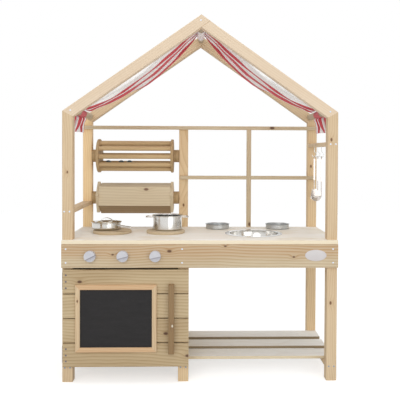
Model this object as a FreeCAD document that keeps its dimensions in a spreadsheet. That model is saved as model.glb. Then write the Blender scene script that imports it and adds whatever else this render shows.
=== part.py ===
import FreeCAD
import Part
import Sketcher
import math
import os

# Outdoor play kitchen in softwood: a house-shaped frame with a worktop, an oven cupboard with a
# chalkboard door, a bell drum, a spinning box, steel pans and a striped cloth canopy.
# Millimetres, +Z up, front towards -Y, origin on the floor below the middle of the bounding box.

SIZES = {
    "overall_width": 1050,
    "frame_depth": 445,
    "window_height": 443,
    "top_rail_depth": 46,
    "roof_angle": 35,
    "post_side": 40,
    "arris_radius": 3,
    "fine_arris_radius": 1.5,
    "overrun_length": 5,
    "worktop_height": 543,
    "board_thickness": 15,
    "board_width": 90,
    "middle_leg_centre": -65,
    "middle_post_centre": -75.5,
    "rail_width": 40,
    "rail_thickness": 16,
    "left_rail_height": 107,
    "right_rail_depth": 122,
    "muntin_centre": 217,
    "muntin_width": 20,
    "batten_depth": 18,
    "batten_setback": 7,
    "lower_rail_top": 60,
    "slat_thickness": 12,
    "slat_front_gap": 30,
    "panel_thickness": 9,
    "panel_gap": 1,
    "bar_diameter": 28,
    "eave_bar_distance": 32.5,
    "eave_bar_height": 5,
    "ridge_bar_depth": 21,
    "door_bottom_gap": 3,
    "door_top_gap": 6,
    "door_gap": 3,
    "door_side_margin": 5.3,
    "hinge_gap": 3,
    "door_batten_thickness": 12,
    "door_batten_width": 45,
    "door_batten_margin": 10,
    "door_batten_end_distance": 22,
    "hinge_length": 64,
    "hinge_leaf_width": 24,
    "hinge_leaf_thickness": 1.2,
    "knuckle_radius": 2.5,
    "hinge_pin_radius": 1.2,
    "hinge_end_distance": 45,
    "pin_clearance": 0.05,
    "side_clearance": 0.4,
    "chalkboard_left_margin": 49,
    "chalkboard_right_margin": 44.7,
    "chalkboard_top_margin": 56,
    "chalkboard_bottom_margin": 59,
    "chalkboard_frame_width": 18,
    "chalkboard_frame_depth": 11,
    "chalkboard_thickness": 6,
    "handle_width": 21,
    "handle_depth": 27,
    "handle_right_margin": 54,
    "handle_top_margin": 53,
    "handle_bottom_margin": 56,
    "knob_radius": 21,
    "knob_depth": 20,
    "knob_step_depth": 7,
    "knob_step_offset": 5,
    "knob_left_margin": 109,
    "knob_right_margin": 86,
    "knob_depth_below_worktop": 44,
    "spindle_radius": 4,
    "spindle_nut_radius": 8,
    "spindle_nut_thickness": 4,
    "spin_clearance": 1,
    "drum_radius": 75,
    "drum_disc_thickness": 12,
    "dowel_radius": 10,
    "dowel_circle_radius": 60,
    "dowel_socket_depth": 5,
    "dowel_phase_angle": 3,
    "hub_radius": 28,
    "hub_thickness": 24,
    "axle_radius": 5,
    "axle_reach_length": 16,
    "box_radius": 73,
    "box_tilt_angle": 10,
    "box_end_thickness": 12,
    "box_panel_thickness": 9,
    "bell_radius": 15,
    "bell_depth": 34.5,
    "bell_end_gap": 18.75,
    "wide_bell_gap": 28,
    "narrow_bell_gap": 7,
    "pellet_radius": 4,
    "bell_wall_thickness": 0.8,
    "bell_slot_width": 3,
    "trivet_radius": 79,
    "trivet_thickness": 11,
    "metal_thickness": 1,
    "pan_radius": 60,
    "pan_height": 31,
    "pan_corner_radius": 10,
    "rim_flare_radius": 3,
    "pan_handle_length": 118,
    "pan_handle_width": 13,
    "pan_handle_thickness": 2.5,
    "pan_handle_angle": -48,
    "pan_handle_drop": 5,
    "lid_gap": 0.4,
    "lid_dish_depth": 4,
    "lid_lip_depth": 3,
    "lid_strap_length": 54,
    "lid_strap_height": 13,
    "lid_strap_width": 14,
    "lid_strap_thickness": 1.6,
    "pot_radius": 60,
    "pot_height": 61,
    "pot_corner_radius": 6,
    "pot_handle_length": 30,
    "pot_handle_width": 46,
    "pot_handle_wire_radius": 2.2,
    "pot_handle_drop": 7,
    "pot_handle_bend_radius": 12,
    "dish_radius": 51,
    "dish_height": 21,
    "dish_back_gap": 5,
    "sink_rim_radius": 118,
    "sink_mouth_radius": 100,
    "sink_floor_radius": 52,
    "sink_depth": 84,
    "sink_wall_radius": 100,
    "sink_hole_clearance": 2,
    "hook_back_margin": 48,
    "hook_pitch": 75,
    "hook_wire_radius": 1.5,
    "hook_bend_radius": 10,
    "hook_stem_length": 16,
    "hook_turn_angle": 60,
    "hook_inset_distance": 20,
    "ring_radius": 4,
    "ring_wire_radius": 1.2,
    "seat_gap": 0.2,
    "utensil_length": 182,
    "utensil_rod_radius": 2,
    "grip_length": 95,
    "grip_width": 7,
    "grip_thickness": 2.4,
    "blade_width": 34,
    "blade_neck_width": 20,
    "blade_length": 42,
    "blade_thickness": 1.4,
    "ladle_radius": 22,
    "ladle_offset": 21.5,
    "canopy_sag_depth": 46,
    "canopy_fold_height": 7,
    "canopy_gather_fold_height": 6,
    "cloth_thickness": 1.6,
    "cloth_clearance": 0.4,
    "flap_length": 78,
}


class Size:
    """A dimension with its present value and the expression that ties it to the sheet."""

    def __init__(self, value, text):
        self.value = float(value)
        self.text = text

    def __add__(self, other):
        return join(self, "+", other, self.value + number(other))

    def __radd__(self, other):
        return join(other, "+", self, number(other) + self.value)

    def __sub__(self, other):
        return join(self, "-", other, self.value - number(other))

    def __rsub__(self, other):
        return join(other, "-", self, number(other) - self.value)

    def __mul__(self, other):
        return join(self, "*", other, self.value * number(other))

    def __rmul__(self, other):
        return join(other, "*", self, number(other) * self.value)

    def __truediv__(self, other):
        return join(self, "/", other, self.value / number(other))

    def __rtruediv__(self, other):
        return join(other, "/", self, number(other) / self.value)

    def __neg__(self):
        return Size(-self.value, f"(-1 * {self.text})")


def number(item):
    return item.value if isinstance(item, Size) else float(item)


def text(item):
    return item.text if isinstance(item, Size) else repr(float(item))


def join(left, sign, right, value):
    return Size(value, f"({text(left)} {sign} {text(right)})")


def of_angle(name, rule, angle):
    return Size(rule(math.radians(number(angle))), f"{name}({text(angle)})")


def sine(angle):
    return of_angle("sin", math.sin, angle)


def root(size):
    return Size(math.sqrt(number(size)), f"sqrt({text(size)})")


def cosine(angle):
    return of_angle("cos", math.cos, angle)


def tangent(angle):
    return of_angle("tan", math.tan, angle)


class Sheet:
    """The driving dimensions, each in a spreadsheet cell under its own alias."""

    def __init__(self, doc, table):
        self.cells = doc.addObject("Spreadsheet::Sheet", "Sizes")
        for row, (name, value) in enumerate(table.items(), start=1):
            self.cells.set(f"A{row}", name)
            self.cells.set(f"B{row}", str(value))
            self.cells.setAlias(f"B{row}", name)
            setattr(self, name, Size(value, f"Sizes.{name}"))


doc = FreeCAD.newDocument("play_kitchen")
d = Sheet(doc, SIZES)
doc.recompute()

SUB_PARTS = []


def tie(item, path, size):
    if isinstance(size, Size):
        item.setExpression(path, size.text)


def place(item, at, axis=(0, 0, 1), angle=0):
    """Puts an object in the frame and ties its position and turn to the sheet."""
    base = FreeCAD.Vector(*[number(v) for v in at])
    item.Placement = FreeCAD.Placement(base, FreeCAD.Rotation(FreeCAD.Vector(*axis), number(angle)))
    for letter, size in zip("xyz", at):
        tie(item, f"Placement.Base.{letter}", size)
    tie(item, "Placement.Rotation.Angle", angle)


def new_body(label, at=(0, 0, 0), axis=(0, 0, 1), angle=0):
    body = doc.addObject("PartDesign::Body", label)
    body.Label = label
    place(body, at, axis, angle)
    SUB_PARTS.append(body)
    return body


def origin_feature(body, role):
    return next(f for f in body.Origin.OriginFeatures if f.Role == role)


class Sketch:
    """A sketch on one of a body's own origin planes, with every point tied to the sheet."""

    def __init__(self, body, role, offset=0):
        self.item = body.newObject("Sketcher::SketchObject", body.Label + "_sketch")
        self.item.AttachmentSupport = [(origin_feature(body, role), "")]
        self.item.MapMode = "FlatFace"
        tie(self.item, "AttachmentOffset.Base.z", offset)

    def limit(self, kind, refs, size):
        index = self.item.addConstraint(Sketcher.Constraint(kind, *refs, number(size)))
        tie(self.item, f"Constraints[{index}]", size)

    def fix_point(self, edge, end, point):
        for kind, axis, size in (("DistanceX", -2, point[0]), ("DistanceY", -1, point[1])):
            if isinstance(size, Size):
                self.limit(kind, (-1, 1, edge, end), size)
            else:
                self.item.addConstraint(Sketcher.Constraint("PointOnObject", edge, end, axis))

    def circle(self, centre, radius):
        middle = FreeCAD.Vector(number(centre[0]), number(centre[1]), 0)
        ring = Part.Circle(middle, FreeCAD.Vector(0, 0, 1), number(radius))
        edge = self.item.addGeometry(ring, False)
        self.limit("Radius", (edge,), radius)
        self.fix_point(edge, CENTRE_INDEX, centre)
        return self

    def chain(self, points, closed=True):
        """A run of edges through the points. A third value in a point makes the edge that
        arrives there an arc of that radius, turning left where positive and right where negative."""
        ends = []
        count = len(points)
        for index in range(0 if closed else 1, count):
            start = points[index - 1]
            stop = points[index]
            ends.append(self.edge(start, stop))
        for index in range(len(ends) if closed else len(ends) - 1):
            first = ends[index]
            second = ends[(index + 1) % len(ends)]
            self.item.addConstraint(Sketcher.Constraint(
                "Coincident", first[0], first[2], second[0], second[1]))
        for index, (edge, first_end, last_end) in enumerate(ends):
            stop = points[index] if closed else points[index + 1]
            self.fix_point(edge, last_end, stop)
        if not closed:
            self.fix_point(ends[0][0], ends[0][1], points[0])
        return self

    def edge(self, start, stop):
        """Adds one line or arc and gives its number with the codes of its start and stop."""
        a = FreeCAD.Vector(number(start[0]), number(start[1]), 0)
        b = FreeCAD.Vector(number(stop[0]), number(stop[1]), 0)
        if len(stop) == 2:
            return self.item.addGeometry(Part.LineSegment(a, b), False), 1, 2
        radius = stop[2]
        size = abs(number(radius))
        left = number(radius) > 0
        chord = b - a
        rise = math.sqrt(max(size ** 2 - (chord.Length / 2) ** 2, 0))
        side = FreeCAD.Vector(-chord.y, chord.x, 0).normalize() * (rise if left else -rise)
        centre = (a + b) / 2 + side
        from_point, to_point = (a, b) if left else (b, a)
        begin = math.atan2(from_point.y - centre.y, from_point.x - centre.x)
        finish = math.atan2(to_point.y - centre.y, to_point.x - centre.x)
        circle = Part.Circle(centre, FreeCAD.Vector(0, 0, 1), size)
        edge = self.item.addGeometry(Part.ArcOfCircle(circle, begin, finish), False)
        self.limit("Radius", (edge,), radius if left else -radius)
        return (edge, 1, 2) if left else (edge, 2, 1)

    def rectangle(self, low, high):
        return self.chain([low, (high[0], low[1]), high, (low[0], high[1])])

    def rounded(self, low, high, radius):
        """A rectangle with rounded corners."""
        left, bottom = low
        right, top = high
        return self.chain([
            (right - radius, bottom), (right, bottom + radius, radius),
            (right, top - radius), (right - radius, top, radius),
            (left + radius, top), (left, top - radius, radius),
            (left, bottom + radius), (left + radius, bottom, radius)])


def feature(body, kind, sketch):
    item = body.newObject(f"PartDesign::{kind}", f"{body.Label}_{kind.lower()}")
    item.Profile = sketch.item
    return item


def pad(body, sketch, length, backwards=False, both_ways=False):
    item = feature(body, "Pad", sketch)
    item.Length = number(length)
    tie(item, "Length", length)
    item.Reversed = backwards
    item.Midplane = both_ways
    return item


def cut_through(body, sketch):
    item = feature(body, "Pocket", sketch)
    item.Type = "ThroughAll"
    item.Midplane = True
    return item


def cut_down(body, sketch, depth, backwards=False):
    item = feature(body, "Pocket", sketch)
    item.Length = number(depth)
    tie(item, "Length", depth)
    item.Reversed = backwards
    return item


def revolve(body, sketch, about="V_Axis"):
    item = feature(body, "Revolution", sketch)
    item.ReferenceAxis = (sketch.item, [about])
    item.Angle = 360
    return item


def sweep(body, profile, spine, mitred=False):
    item = feature(body, "AdditivePipe", profile)
    item.Spine = (spine.item, [])
    item.Transition = "Right corner" if mitred else "Transformed"
    return item


def round_edges(body, base, radius, chosen):
    """Rounds the straight edges of a feature whose middles pass a test."""
    doc.recompute()
    edges = [f"Edge{index}" for index, edge in enumerate(base.Shape.Edges, start=1)
             if chosen(edge.CenterOfMass)]
    item = body.newObject("PartDesign::Fillet", f"{body.Label}_fillet")
    item.Base = (base, edges)
    item.Radius = number(radius)
    tie(item, "Radius", radius)
    body.Tip = item


def row_of(body, originals, axis, spacing, count):
    """Repeats features in a straight row along one of the body's axes."""
    item = body.newObject("PartDesign::LinearPattern", body.Label + "_row")
    item.Originals = originals
    item.Direction = (origin_feature(body, axis), [""])
    item.Occurrences = int(number(count))
    length = spacing * (item.Occurrences - 1)
    item.Length = number(length)
    tie(item, "Length", length)
    body.Tip = item
    return item


def ring_of(body, originals, axis, count):
    """Repeats features in a ring about one of the body's axes."""
    item = body.newObject("PartDesign::PolarPattern", body.Label + "_ring")
    item.Originals = originals
    item.Axis = (origin_feature(body, axis), [""])
    item.Angle = 360
    item.Occurrences = int(number(count))
    body.Tip = item
    return item


def board(label, grain, at, size, arris=d.arris_radius):
    """A planed board from its low corner, with its long edges rounded along the grain."""
    body = new_body(label, at)
    wide, deep, tall = size
    if grain == "x":
        section = Sketch(body, "YZ_Plane").rounded((0, 0), (deep, tall), arris)
        pad(body, section, wide)
    elif grain == "y":
        section = Sketch(body, "XZ_Plane").rounded((0, 0), (wide, tall), arris)
        pad(body, section, deep, backwards=True)
    else:
        section = Sketch(body, "XY_Plane").rounded((0, 0), (wide, deep), arris)
        pad(body, section, tall)
    return body


HALF_TURN = 180
QUARTER_TURN = 90
CENTRE_INDEX = 3
TOUCH = 1e-6
KNOB_TURNS = (27, 15, 12)
DOWEL_COUNT = 10
BOX_SIDE_COUNT = 5
HOOK_COUNT = 3
DOOR_BOARD_COUNT = 4
KNUCKLE_COUNT = 3
CANOPY_FOLD_COUNT = 6

# Places on the worktop: across from its middle as shares of half its width, and back from the
# front posts as shares of the frame's depth.
LEFT_TRIVET_SHARE = -0.6933
RIGHT_TRIVET_SHARE = -0.2743
TRIVET_BACK_SHARE = 0.454
PAN_SHARES = (-0.7467, 0.5124)
POT_SHARES = (-0.2629, 0.4989)
SINK_SHARES = (0.419, 0.409)
LEFT_DISH_SHARE = 0.1448
RIGHT_DISH_SHARE = 0.6476

# The free height between the worktop and the top rail, below the box and between box and drum.
BELOW_BOX_SHARE = 0.403
BETWEEN_SPINNERS_SHARE = 0.288

# The cloth's stations from the ridge to the eave, with its near and far edges across the frame.
STATION_SHARES = (0, 0.25, 0.5, 0.87, 1)
NEAR_EDGE_SHARES = (0.378, 0.257, 0.136, 0.273, 0.286)
FAR_EDGE_SHARES = (0.811, 0.864, 0.916, 0.684, 0.574)

half_width = d.overall_width / 2
spinner_setback = d.frame_depth - d.post_side / 2
reach_front = d.hinge_gap + d.board_thickness + d.handle_depth
reach_back = spinner_setback + d.drum_radius
eave_height = d.worktop_height + d.window_height + d.top_rail_depth
top_rail_height = d.worktop_height + d.window_height
window_rail_height = d.worktop_height + d.window_height / 2
right_rail_height = eave_height - d.right_rail_depth
free_height = (d.window_height - d.rail_thickness / 2
               - 2 * d.drum_radius - 2 * d.box_radius)
box_axis_height = d.worktop_height + free_height * BELOW_BOX_SHARE + d.box_radius
drum_axis_height = (box_axis_height + d.box_radius + free_height * BETWEEN_SPINNERS_SHARE
                    + d.drum_radius)
front = (reach_front - reach_back) / 2
back = front + d.frame_depth - d.post_side
spinner_y = front + spinner_setback
apex_height = eave_height + half_width * tangent(d.roof_angle)
worktop_underside = d.worktop_height - d.board_thickness
apron_bottom = worktop_underside - d.board_width
inner_left = d.post_side - half_width
leg_left = d.middle_leg_centre - d.post_side / 2
post_left = d.middle_post_centre - d.post_side / 2
low_rail_middle = (d.middle_leg_centre + d.middle_post_centre) / 2
span = d.frame_depth - 2 * d.post_side
behind_front_posts = front + d.post_side
rafter_length = half_width / cosine(d.roof_angle)
cabinet_bottom = d.lower_rail_top + d.panel_thickness
door_left = d.door_side_margin - half_width
door_right = leg_left + d.post_side
door_back = front - d.hinge_gap
door_face = door_back - d.board_thickness
door_bottom = d.lower_rail_top + d.door_bottom_gap
door_top = apron_bottom - d.door_top_gap
door_height = door_top - door_bottom
door_board_width = (door_height - (DOOR_BOARD_COUNT - 1) * d.door_gap) / DOOR_BOARD_COUNT
handle_left = door_right - d.handle_right_margin - d.handle_width
knob_height = worktop_underside - d.knob_depth_below_worktop
knob_spacing = ((leg_left + half_width - d.knob_left_margin - d.knob_right_margin)
                / (len(KNOB_TURNS) - 1))
hinge_x = d.knuckle_radius - half_width
hinge_y = door_back
spinner_middle = (inner_left + post_left) / 2
hub_start = (post_left - inner_left) / 2 - d.spin_clearance
trivet_seat = d.worktop_height + d.trivet_thickness + d.seat_gap
hook_x = half_width - d.hook_inset_distance
hook_top = right_rail_height - d.rail_thickness / 2
hook_wire_height = (hook_top - d.hook_stem_length - d.hook_bend_radius
                    - 2 * d.hook_bend_radius * sine(d.hook_turn_angle))
ring_height = hook_wire_height + d.hook_wire_radius + d.seat_gap - d.ring_radius


def hook_y(index):
    return back - d.hook_back_margin - (HOOK_COUNT - 1 - index) * d.hook_pitch


def on_worktop(across_share, back_share, height):
    """A place on or over the worktop."""
    return half_width * across_share, front + d.frame_depth * back_share, height


def corner_post(label, side, y, bore_heights=()):
    """A corner post, mitred at its top. Its outer face is at local x = 0, its inner face beyond."""
    turned = side > 0
    at = (side * half_width, y + d.post_side if turned else y, 0)
    body = new_body(label, at, angle=HALF_TURN if turned else 0)
    section = Sketch(body, "XY_Plane").rounded((0, 0), (d.post_side, d.post_side), d.arris_radius)
    pad(body, section, eave_height)
    fall = tangent((QUARTER_TURN - d.roof_angle) / 2)
    far = d.post_side + d.overrun_length
    cut_through(body, Sketch(body, "XZ_Plane").chain([
        (-d.overrun_length, eave_height + d.overrun_length * fall),
        (far, eave_height - far * fall),
        (far, eave_height + d.overrun_length * fall)]))
    for height in bore_heights:
        bore = Sketch(body, "YZ_Plane", d.post_side).circle((d.post_side / 2, height), d.axle_radius)
        cut_down(body, bore, d.axle_reach_length)
    return body


def left_rafter(label, y):
    """Runs up from the left eave to the apex, where its end is cut flush with the other slope."""
    body = new_body(label, (-half_width, y, eave_height), (0, 1, 0), -d.roof_angle)
    section = Sketch(body, "YZ_Plane").rounded((0, -d.post_side), (d.post_side, 0), d.arris_radius)
    pad(body, section, rafter_length + d.post_side)
    low = -(d.post_side + d.overrun_length)
    eave_cut = 1 / tangent((QUARTER_TURN + d.roof_angle) / 2)
    apex_cut = 1 / tangent(2 * d.roof_angle)
    far = rafter_length + d.post_side + d.overrun_length
    cut_through(body, Sketch(body, "XZ_Plane").chain([
        (-d.overrun_length * eave_cut, d.overrun_length), (-d.overrun_length, low),
        (-low * eave_cut, low)]))
    cut_through(body, Sketch(body, "XZ_Plane").chain([
        (rafter_length - d.overrun_length * apex_cut, d.overrun_length),
        (rafter_length - low * apex_cut, low), (far, low), (far, d.overrun_length)]))
    return body


def right_rafter(label, y):
    """Runs down from the apex, where it butts under the left rafter, to the right eave."""
    body = new_body(label, (0, y, apex_height), (0, 1, 0), d.roof_angle)
    section = Sketch(body, "YZ_Plane").rounded((0, -d.post_side), (d.post_side, 0), d.arris_radius)
    pad(body, section, rafter_length)
    low = -(d.post_side + d.overrun_length)
    eave_cut = 1 / tangent((QUARTER_TURN + d.roof_angle) / 2)
    apex_cut = 1 / tangent(2 * d.roof_angle)
    butt_top = d.post_side / sine(2 * d.roof_angle)
    far = rafter_length + d.post_side
    cut_through(body, Sketch(body, "XZ_Plane").chain([
        (butt_top + d.overrun_length * apex_cut, d.overrun_length),
        (-d.overrun_length, d.overrun_length), (-d.overrun_length, low),
        (butt_top + low * apex_cut, low)]))
    cut_through(body, Sketch(body, "XZ_Plane").chain([
        (rafter_length + d.overrun_length * eave_cut, d.overrun_length),
        (rafter_length + low * eave_cut, low), (far, low), (far, d.overrun_length)]))
    return body


def round_bar(label, x, z):
    """A round bar between the front and back frames."""
    body = new_body(label, (x, behind_front_posts, z))
    pad(body, Sketch(body, "XZ_Plane").circle((0, 0), d.bar_diameter / 2), span, backwards=True)
    return body


def side_rail(label, x, top):
    """A flat rail between the front and back posts."""
    at = (x, behind_front_posts, top - d.rail_thickness)
    return board(label, "y", at, (d.rail_width, span, d.rail_thickness))


def back_middle_post():
    body = board("back_middle_post", "z", (post_left, back, 0),
                 (d.post_side, d.post_side, top_rail_height + d.rail_thickness / 2))
    for height in (box_axis_height, drum_axis_height):
        bore = Sketch(body, "YZ_Plane").circle((d.post_side / 2, height), d.axle_radius)
        cut_down(body, bore, d.axle_reach_length, backwards=True)


def window():
    """The battens across the back: a top rail, and a middle rail half-lapped with an upright."""
    face = back - d.batten_depth
    half_rail = d.rail_thickness / 2
    length = d.overall_width - 2 * d.batten_setback
    board("back_top_rail", "x", (d.batten_setback - half_width, face, top_rail_height - half_rail),
          (length, d.batten_depth, d.rail_thickness), d.fine_arris_radius)
    rail_left = post_left + d.batten_setback
    rail = board("back_middle_rail", "x", (rail_left, face, window_rail_height - half_rail),
                 (half_width - d.batten_setback - rail_left, d.batten_depth, d.rail_thickness),
                 d.fine_arris_radius)
    muntin_left = d.muntin_centre - d.muntin_width / 2
    lap = Sketch(rail, "XY_Plane").rectangle(
        (muntin_left - rail_left, -d.overrun_length),
        (muntin_left - rail_left + d.muntin_width, d.batten_depth / 2))
    cut_through(rail, lap)
    muntin = board("window_muntin", "z", (muntin_left, face, d.worktop_height),
                   (d.muntin_width, d.batten_depth, top_rail_height - half_rail - d.worktop_height),
                   d.fine_arris_radius)
    rail_bottom = window_rail_height - half_rail - d.worktop_height
    lap = Sketch(muntin, "YZ_Plane").rectangle(
        (d.batten_depth / 2, rail_bottom),
        (d.batten_depth + d.overrun_length, rail_bottom + d.rail_thickness))
    cut_through(muntin, lap)


def worktop():
    """One wide board, notched round the front posts, with a round hole for the sink bowl."""
    body = new_body("worktop", (0, 0, worktop_underside))
    edge = front - d.board_thickness
    behind = behind_front_posts
    section = Sketch(body, "XY_Plane").chain([
        (-half_width, edge), (half_width, edge), (half_width, front), (-inner_left, front),
        (-inner_left, behind), (half_width, behind), (half_width, back), (-half_width, back),
        (-half_width, behind), (inner_left, behind), (inner_left, front), (-half_width, front)])
    section.circle(on_worktop(*SINK_SHARES, 0)[:2], d.sink_mouth_radius + d.sink_hole_clearance)
    top = pad(body, section, d.board_thickness)
    round_edges(body, top, d.arris_radius, lambda middle: middle.y < number(edge) + TOUCH)


def aprons():
    """The boards under the worktop's front and back edges. The knobs turn in the front one."""
    size = (d.overall_width, d.board_thickness, d.board_width)
    apron = board("front_apron", "x", (-half_width, front - d.board_thickness, apron_bottom), size)
    holes = Sketch(apron, "XZ_Plane")
    for index in range(len(KNOB_TURNS)):
        holes.circle((d.knob_left_margin + index * knob_spacing, knob_height - apron_bottom),
                     d.spindle_radius + d.pin_clearance)
    cut_through(apron, holes)
    board("back_apron", "x", (-half_width, back - d.board_thickness, apron_bottom), size)


def shelf():
    """Three slats across the low rails, the last one against the back posts."""
    low = d.lower_rail_top
    names = ("back", "middle", "front")
    last = behind_front_posts + d.slat_front_gap
    step = (back - d.board_width - last) / (len(names) - 1)
    for index, name in enumerate(names):
        board("shelf_slat_" + name, "x", (low_rail_middle, back - d.board_width - index * step, low),
              (half_width - low_rail_middle, d.board_width, d.slat_thickness))


def cabinet():
    """The oven's floor, sides and back, cut round the posts and the back apron."""
    body = new_body("cabinet_floor", (0, 0, d.lower_rail_top))
    right = low_rail_middle - d.panel_gap
    behind = behind_front_posts
    pad(body, Sketch(body, "XY_Plane").chain([
        (-half_width, behind), (inner_left, behind), (inner_left, front), (leg_left, front),
        (leg_left, behind), (right, behind), (right, back), (-half_width, back)]), d.panel_thickness)
    left = inner_left - d.panel_thickness
    body = new_body("cabinet_sides", (left, 0, 0))
    inside = back - d.panel_thickness
    notch = back - d.board_thickness
    section = Sketch(body, "YZ_Plane").chain([
        (behind, cabinet_bottom), (inside, cabinet_bottom), (inside, apron_bottom),
        (notch, apron_bottom), (notch, worktop_underside), (behind, worktop_underside)])
    panel = pad(body, section, d.panel_thickness)
    row_of(body, [panel], "X_Axis", leg_left - left, 2)
    body = new_body("cabinet_back", (-half_width, inside, cabinet_bottom))
    width = leg_left + d.panel_thickness + half_width
    section = Sketch(body, "XZ_Plane").rectangle((0, 0), (width, apron_bottom - cabinet_bottom))
    pad(body, section, d.panel_thickness, backwards=True)


def door():
    """Four boards on two battens, with a framed chalkboard and a long handle."""
    boards = board("door_boards", "x", (door_left, door_face, door_bottom),
                   (door_right - door_left, d.board_thickness, door_board_width))
    row_of(boards, [boards.Tip], "Z_Axis", door_board_width + d.door_gap, DOOR_BOARD_COUNT)
    left = inner_left + d.door_batten_margin
    right = leg_left - d.door_batten_margin - d.door_batten_width
    battens = board("door_battens", "z", (left, door_back, door_bottom + d.door_batten_end_distance),
                    (d.door_batten_width, d.door_batten_thickness,
                     door_height - 2 * d.door_batten_end_distance))
    row_of(battens, [battens.Tip], "X_Axis", right - left, 2)
    board("door_handle", "z",
          (handle_left, door_face - d.handle_depth, door_bottom + d.handle_bottom_margin),
          (d.handle_width, d.handle_depth,
           door_height - d.handle_top_margin - d.handle_bottom_margin))


def chalkboard():
    left = door_left + d.chalkboard_left_margin
    bottom = door_bottom + d.chalkboard_bottom_margin
    width = handle_left - d.chalkboard_right_margin - left
    height = door_top - d.chalkboard_top_margin - bottom
    inner_width = width - 2 * d.chalkboard_frame_width
    inner_height = height - 2 * d.chalkboard_frame_width
    body = new_body("chalkboard_frame", (left, door_face, bottom))
    depth = d.chalkboard_frame_depth
    arris = d.arris_radius
    moulding = Sketch(body, "XY_Plane", height / 2).chain([
        (0, 0), (0, arris - depth), (arris, -depth, arris),
        (d.chalkboard_frame_width - arris, -depth), (d.chalkboard_frame_width, arris - depth, arris),
        (d.chalkboard_frame_width, 0)])
    route = Sketch(body, "XZ_Plane").rectangle((0, 0), (width, height))
    sweep(body, moulding, route, mitred=True)
    panel = new_body("chalkboard", (left + d.chalkboard_frame_width, door_face,
                                    bottom + d.chalkboard_frame_width))
    section = Sketch(panel, "XZ_Plane").rectangle((0, 0), (inner_width, inner_height))
    pad(panel, section, d.chalkboard_thickness)


def hinges():
    """Two butt hinges. The post's leaves carry the pins, and the door's leaves turn on them."""
    at = (hinge_x, hinge_y, door_bottom + d.hinge_end_distance)
    spacing = door_height - 2 * d.hinge_end_distance
    end = d.hinge_length / 2
    knuckle = d.hinge_length / (2 * KNUCKLE_COUNT)
    start = d.knuckle_radius + d.side_clearance
    gap = knuckle + d.side_clearance
    post = new_body("hinge_post_leaves", at)
    leaf = pad(post, Sketch(post, "XZ_Plane", -d.hinge_gap).chain([
        (d.hinge_leaf_width, -end), (d.hinge_leaf_width, end), (0, end), (0, gap),
        (start, gap), (start, -gap), (0, -gap), (0, -end)]), d.hinge_leaf_thickness)
    parts = [leaf]
    for low in (-end, gap):
        barrel = Sketch(post, "XY_Plane", low).circle((0, 0), d.knuckle_radius)
        parts.append(pad(post, barrel, end - gap))
    pin = Sketch(post, "XY_Plane", -end).circle((0, 0), d.hinge_pin_radius)
    parts.append(pad(post, pin, d.hinge_length))
    row_of(post, parts, "Z_Axis", spacing, 2)
    swing = new_body("hinge_door_leaves", at)
    leaf = pad(swing, Sketch(swing, "XZ_Plane", -d.hinge_leaf_thickness).chain([
        (d.hinge_leaf_width, -end), (d.hinge_leaf_width, end), (start, end), (start, knuckle),
        (0, knuckle), (0, -knuckle), (start, -knuckle), (start, -end)]), d.hinge_leaf_thickness)
    barrel = pad(swing, Sketch(swing, "XY_Plane", -knuckle).circle((0, 0), d.knuckle_radius),
                 2 * knuckle)
    bore = Sketch(swing, "XY_Plane", -knuckle)
    bore.circle((0, 0), d.hinge_pin_radius + d.pin_clearance)
    bore = cut_down(swing, bore, 2 * knuckle, backwards=True)
    row_of(swing, [leaf, barrel, bore], "Z_Axis", spacing, 2)


def knob(index, turn):
    """A round knob whose face steps down along a chord, on a spindle with a nut behind."""
    at = (d.knob_left_margin + index * knob_spacing - half_width,
          front - d.board_thickness - d.side_clearance, knob_height)
    body = new_body(f"knob_{index + 1}", at, (0, 1, 0), -turn)
    pad(body, Sketch(body, "XZ_Plane").circle((0, 0), d.knob_radius), d.knob_depth - d.knob_step_depth)
    half_chord = root(d.knob_radius * d.knob_radius - d.knob_step_offset * d.knob_step_offset)
    raised = Sketch(body, "XZ_Plane", d.knob_depth - d.knob_step_depth).chain([
        (half_chord, -d.knob_step_offset), (0, d.knob_radius, d.knob_radius),
        (-half_chord, -d.knob_step_offset, d.knob_radius)])
    pad(body, raised, d.knob_step_depth)
    nut_back = 2 * d.side_clearance + d.board_thickness
    spindle = Sketch(body, "XZ_Plane").circle((0, 0), d.spindle_radius)
    pad(body, spindle, nut_back + d.spindle_nut_thickness, backwards=True)
    nut = Sketch(body, "XZ_Plane", -nut_back).circle((0, 0), d.spindle_nut_radius)
    pad(body, nut, d.spindle_nut_thickness, backwards=True)


def ring_points(count, radius, first_angle):
    """Places spread evenly round a circle, starting at an angle from the first axis."""
    step = 2 * HALF_TURN / count
    angles = [first_angle + index * step for index in range(count)]
    return [(radius * cosine(angle), radius * sine(angle)) for angle in angles]


def mirror_in_x(body, originals):
    item = body.newObject("PartDesign::Mirrored", body.Label + "_mirror")
    item.Originals = originals
    item.MirrorPlane = (origin_feature(body, "YZ_Plane"), [""])
    body.Tip = item


def spinner_hubs(label, height):
    """Two round hubs that turn on the pins, one at each end of a spinner."""
    body = new_body(label, (spinner_middle, spinner_y, height))
    section = Sketch(body, "YZ_Plane", -hub_start).circle((0, 0), d.hub_radius)
    section.circle((0, 0), d.axle_radius + d.pin_clearance)
    mirror_in_x(body, [pad(body, section, d.hub_thickness)])


def spinner_pins():
    """Fixed pins in the posts, on which the drum and the box turn."""
    body = new_body("spinner_pins", (spinner_middle, spinner_y, 0))
    section = Sketch(body, "YZ_Plane", -(hub_start + d.spin_clearance + d.axle_reach_length))
    for height in (box_axis_height, drum_axis_height):
        section.circle((0, height), d.axle_radius)
    mirror_in_x(body, [pad(body, section, d.axle_reach_length + d.hub_thickness)])


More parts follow.
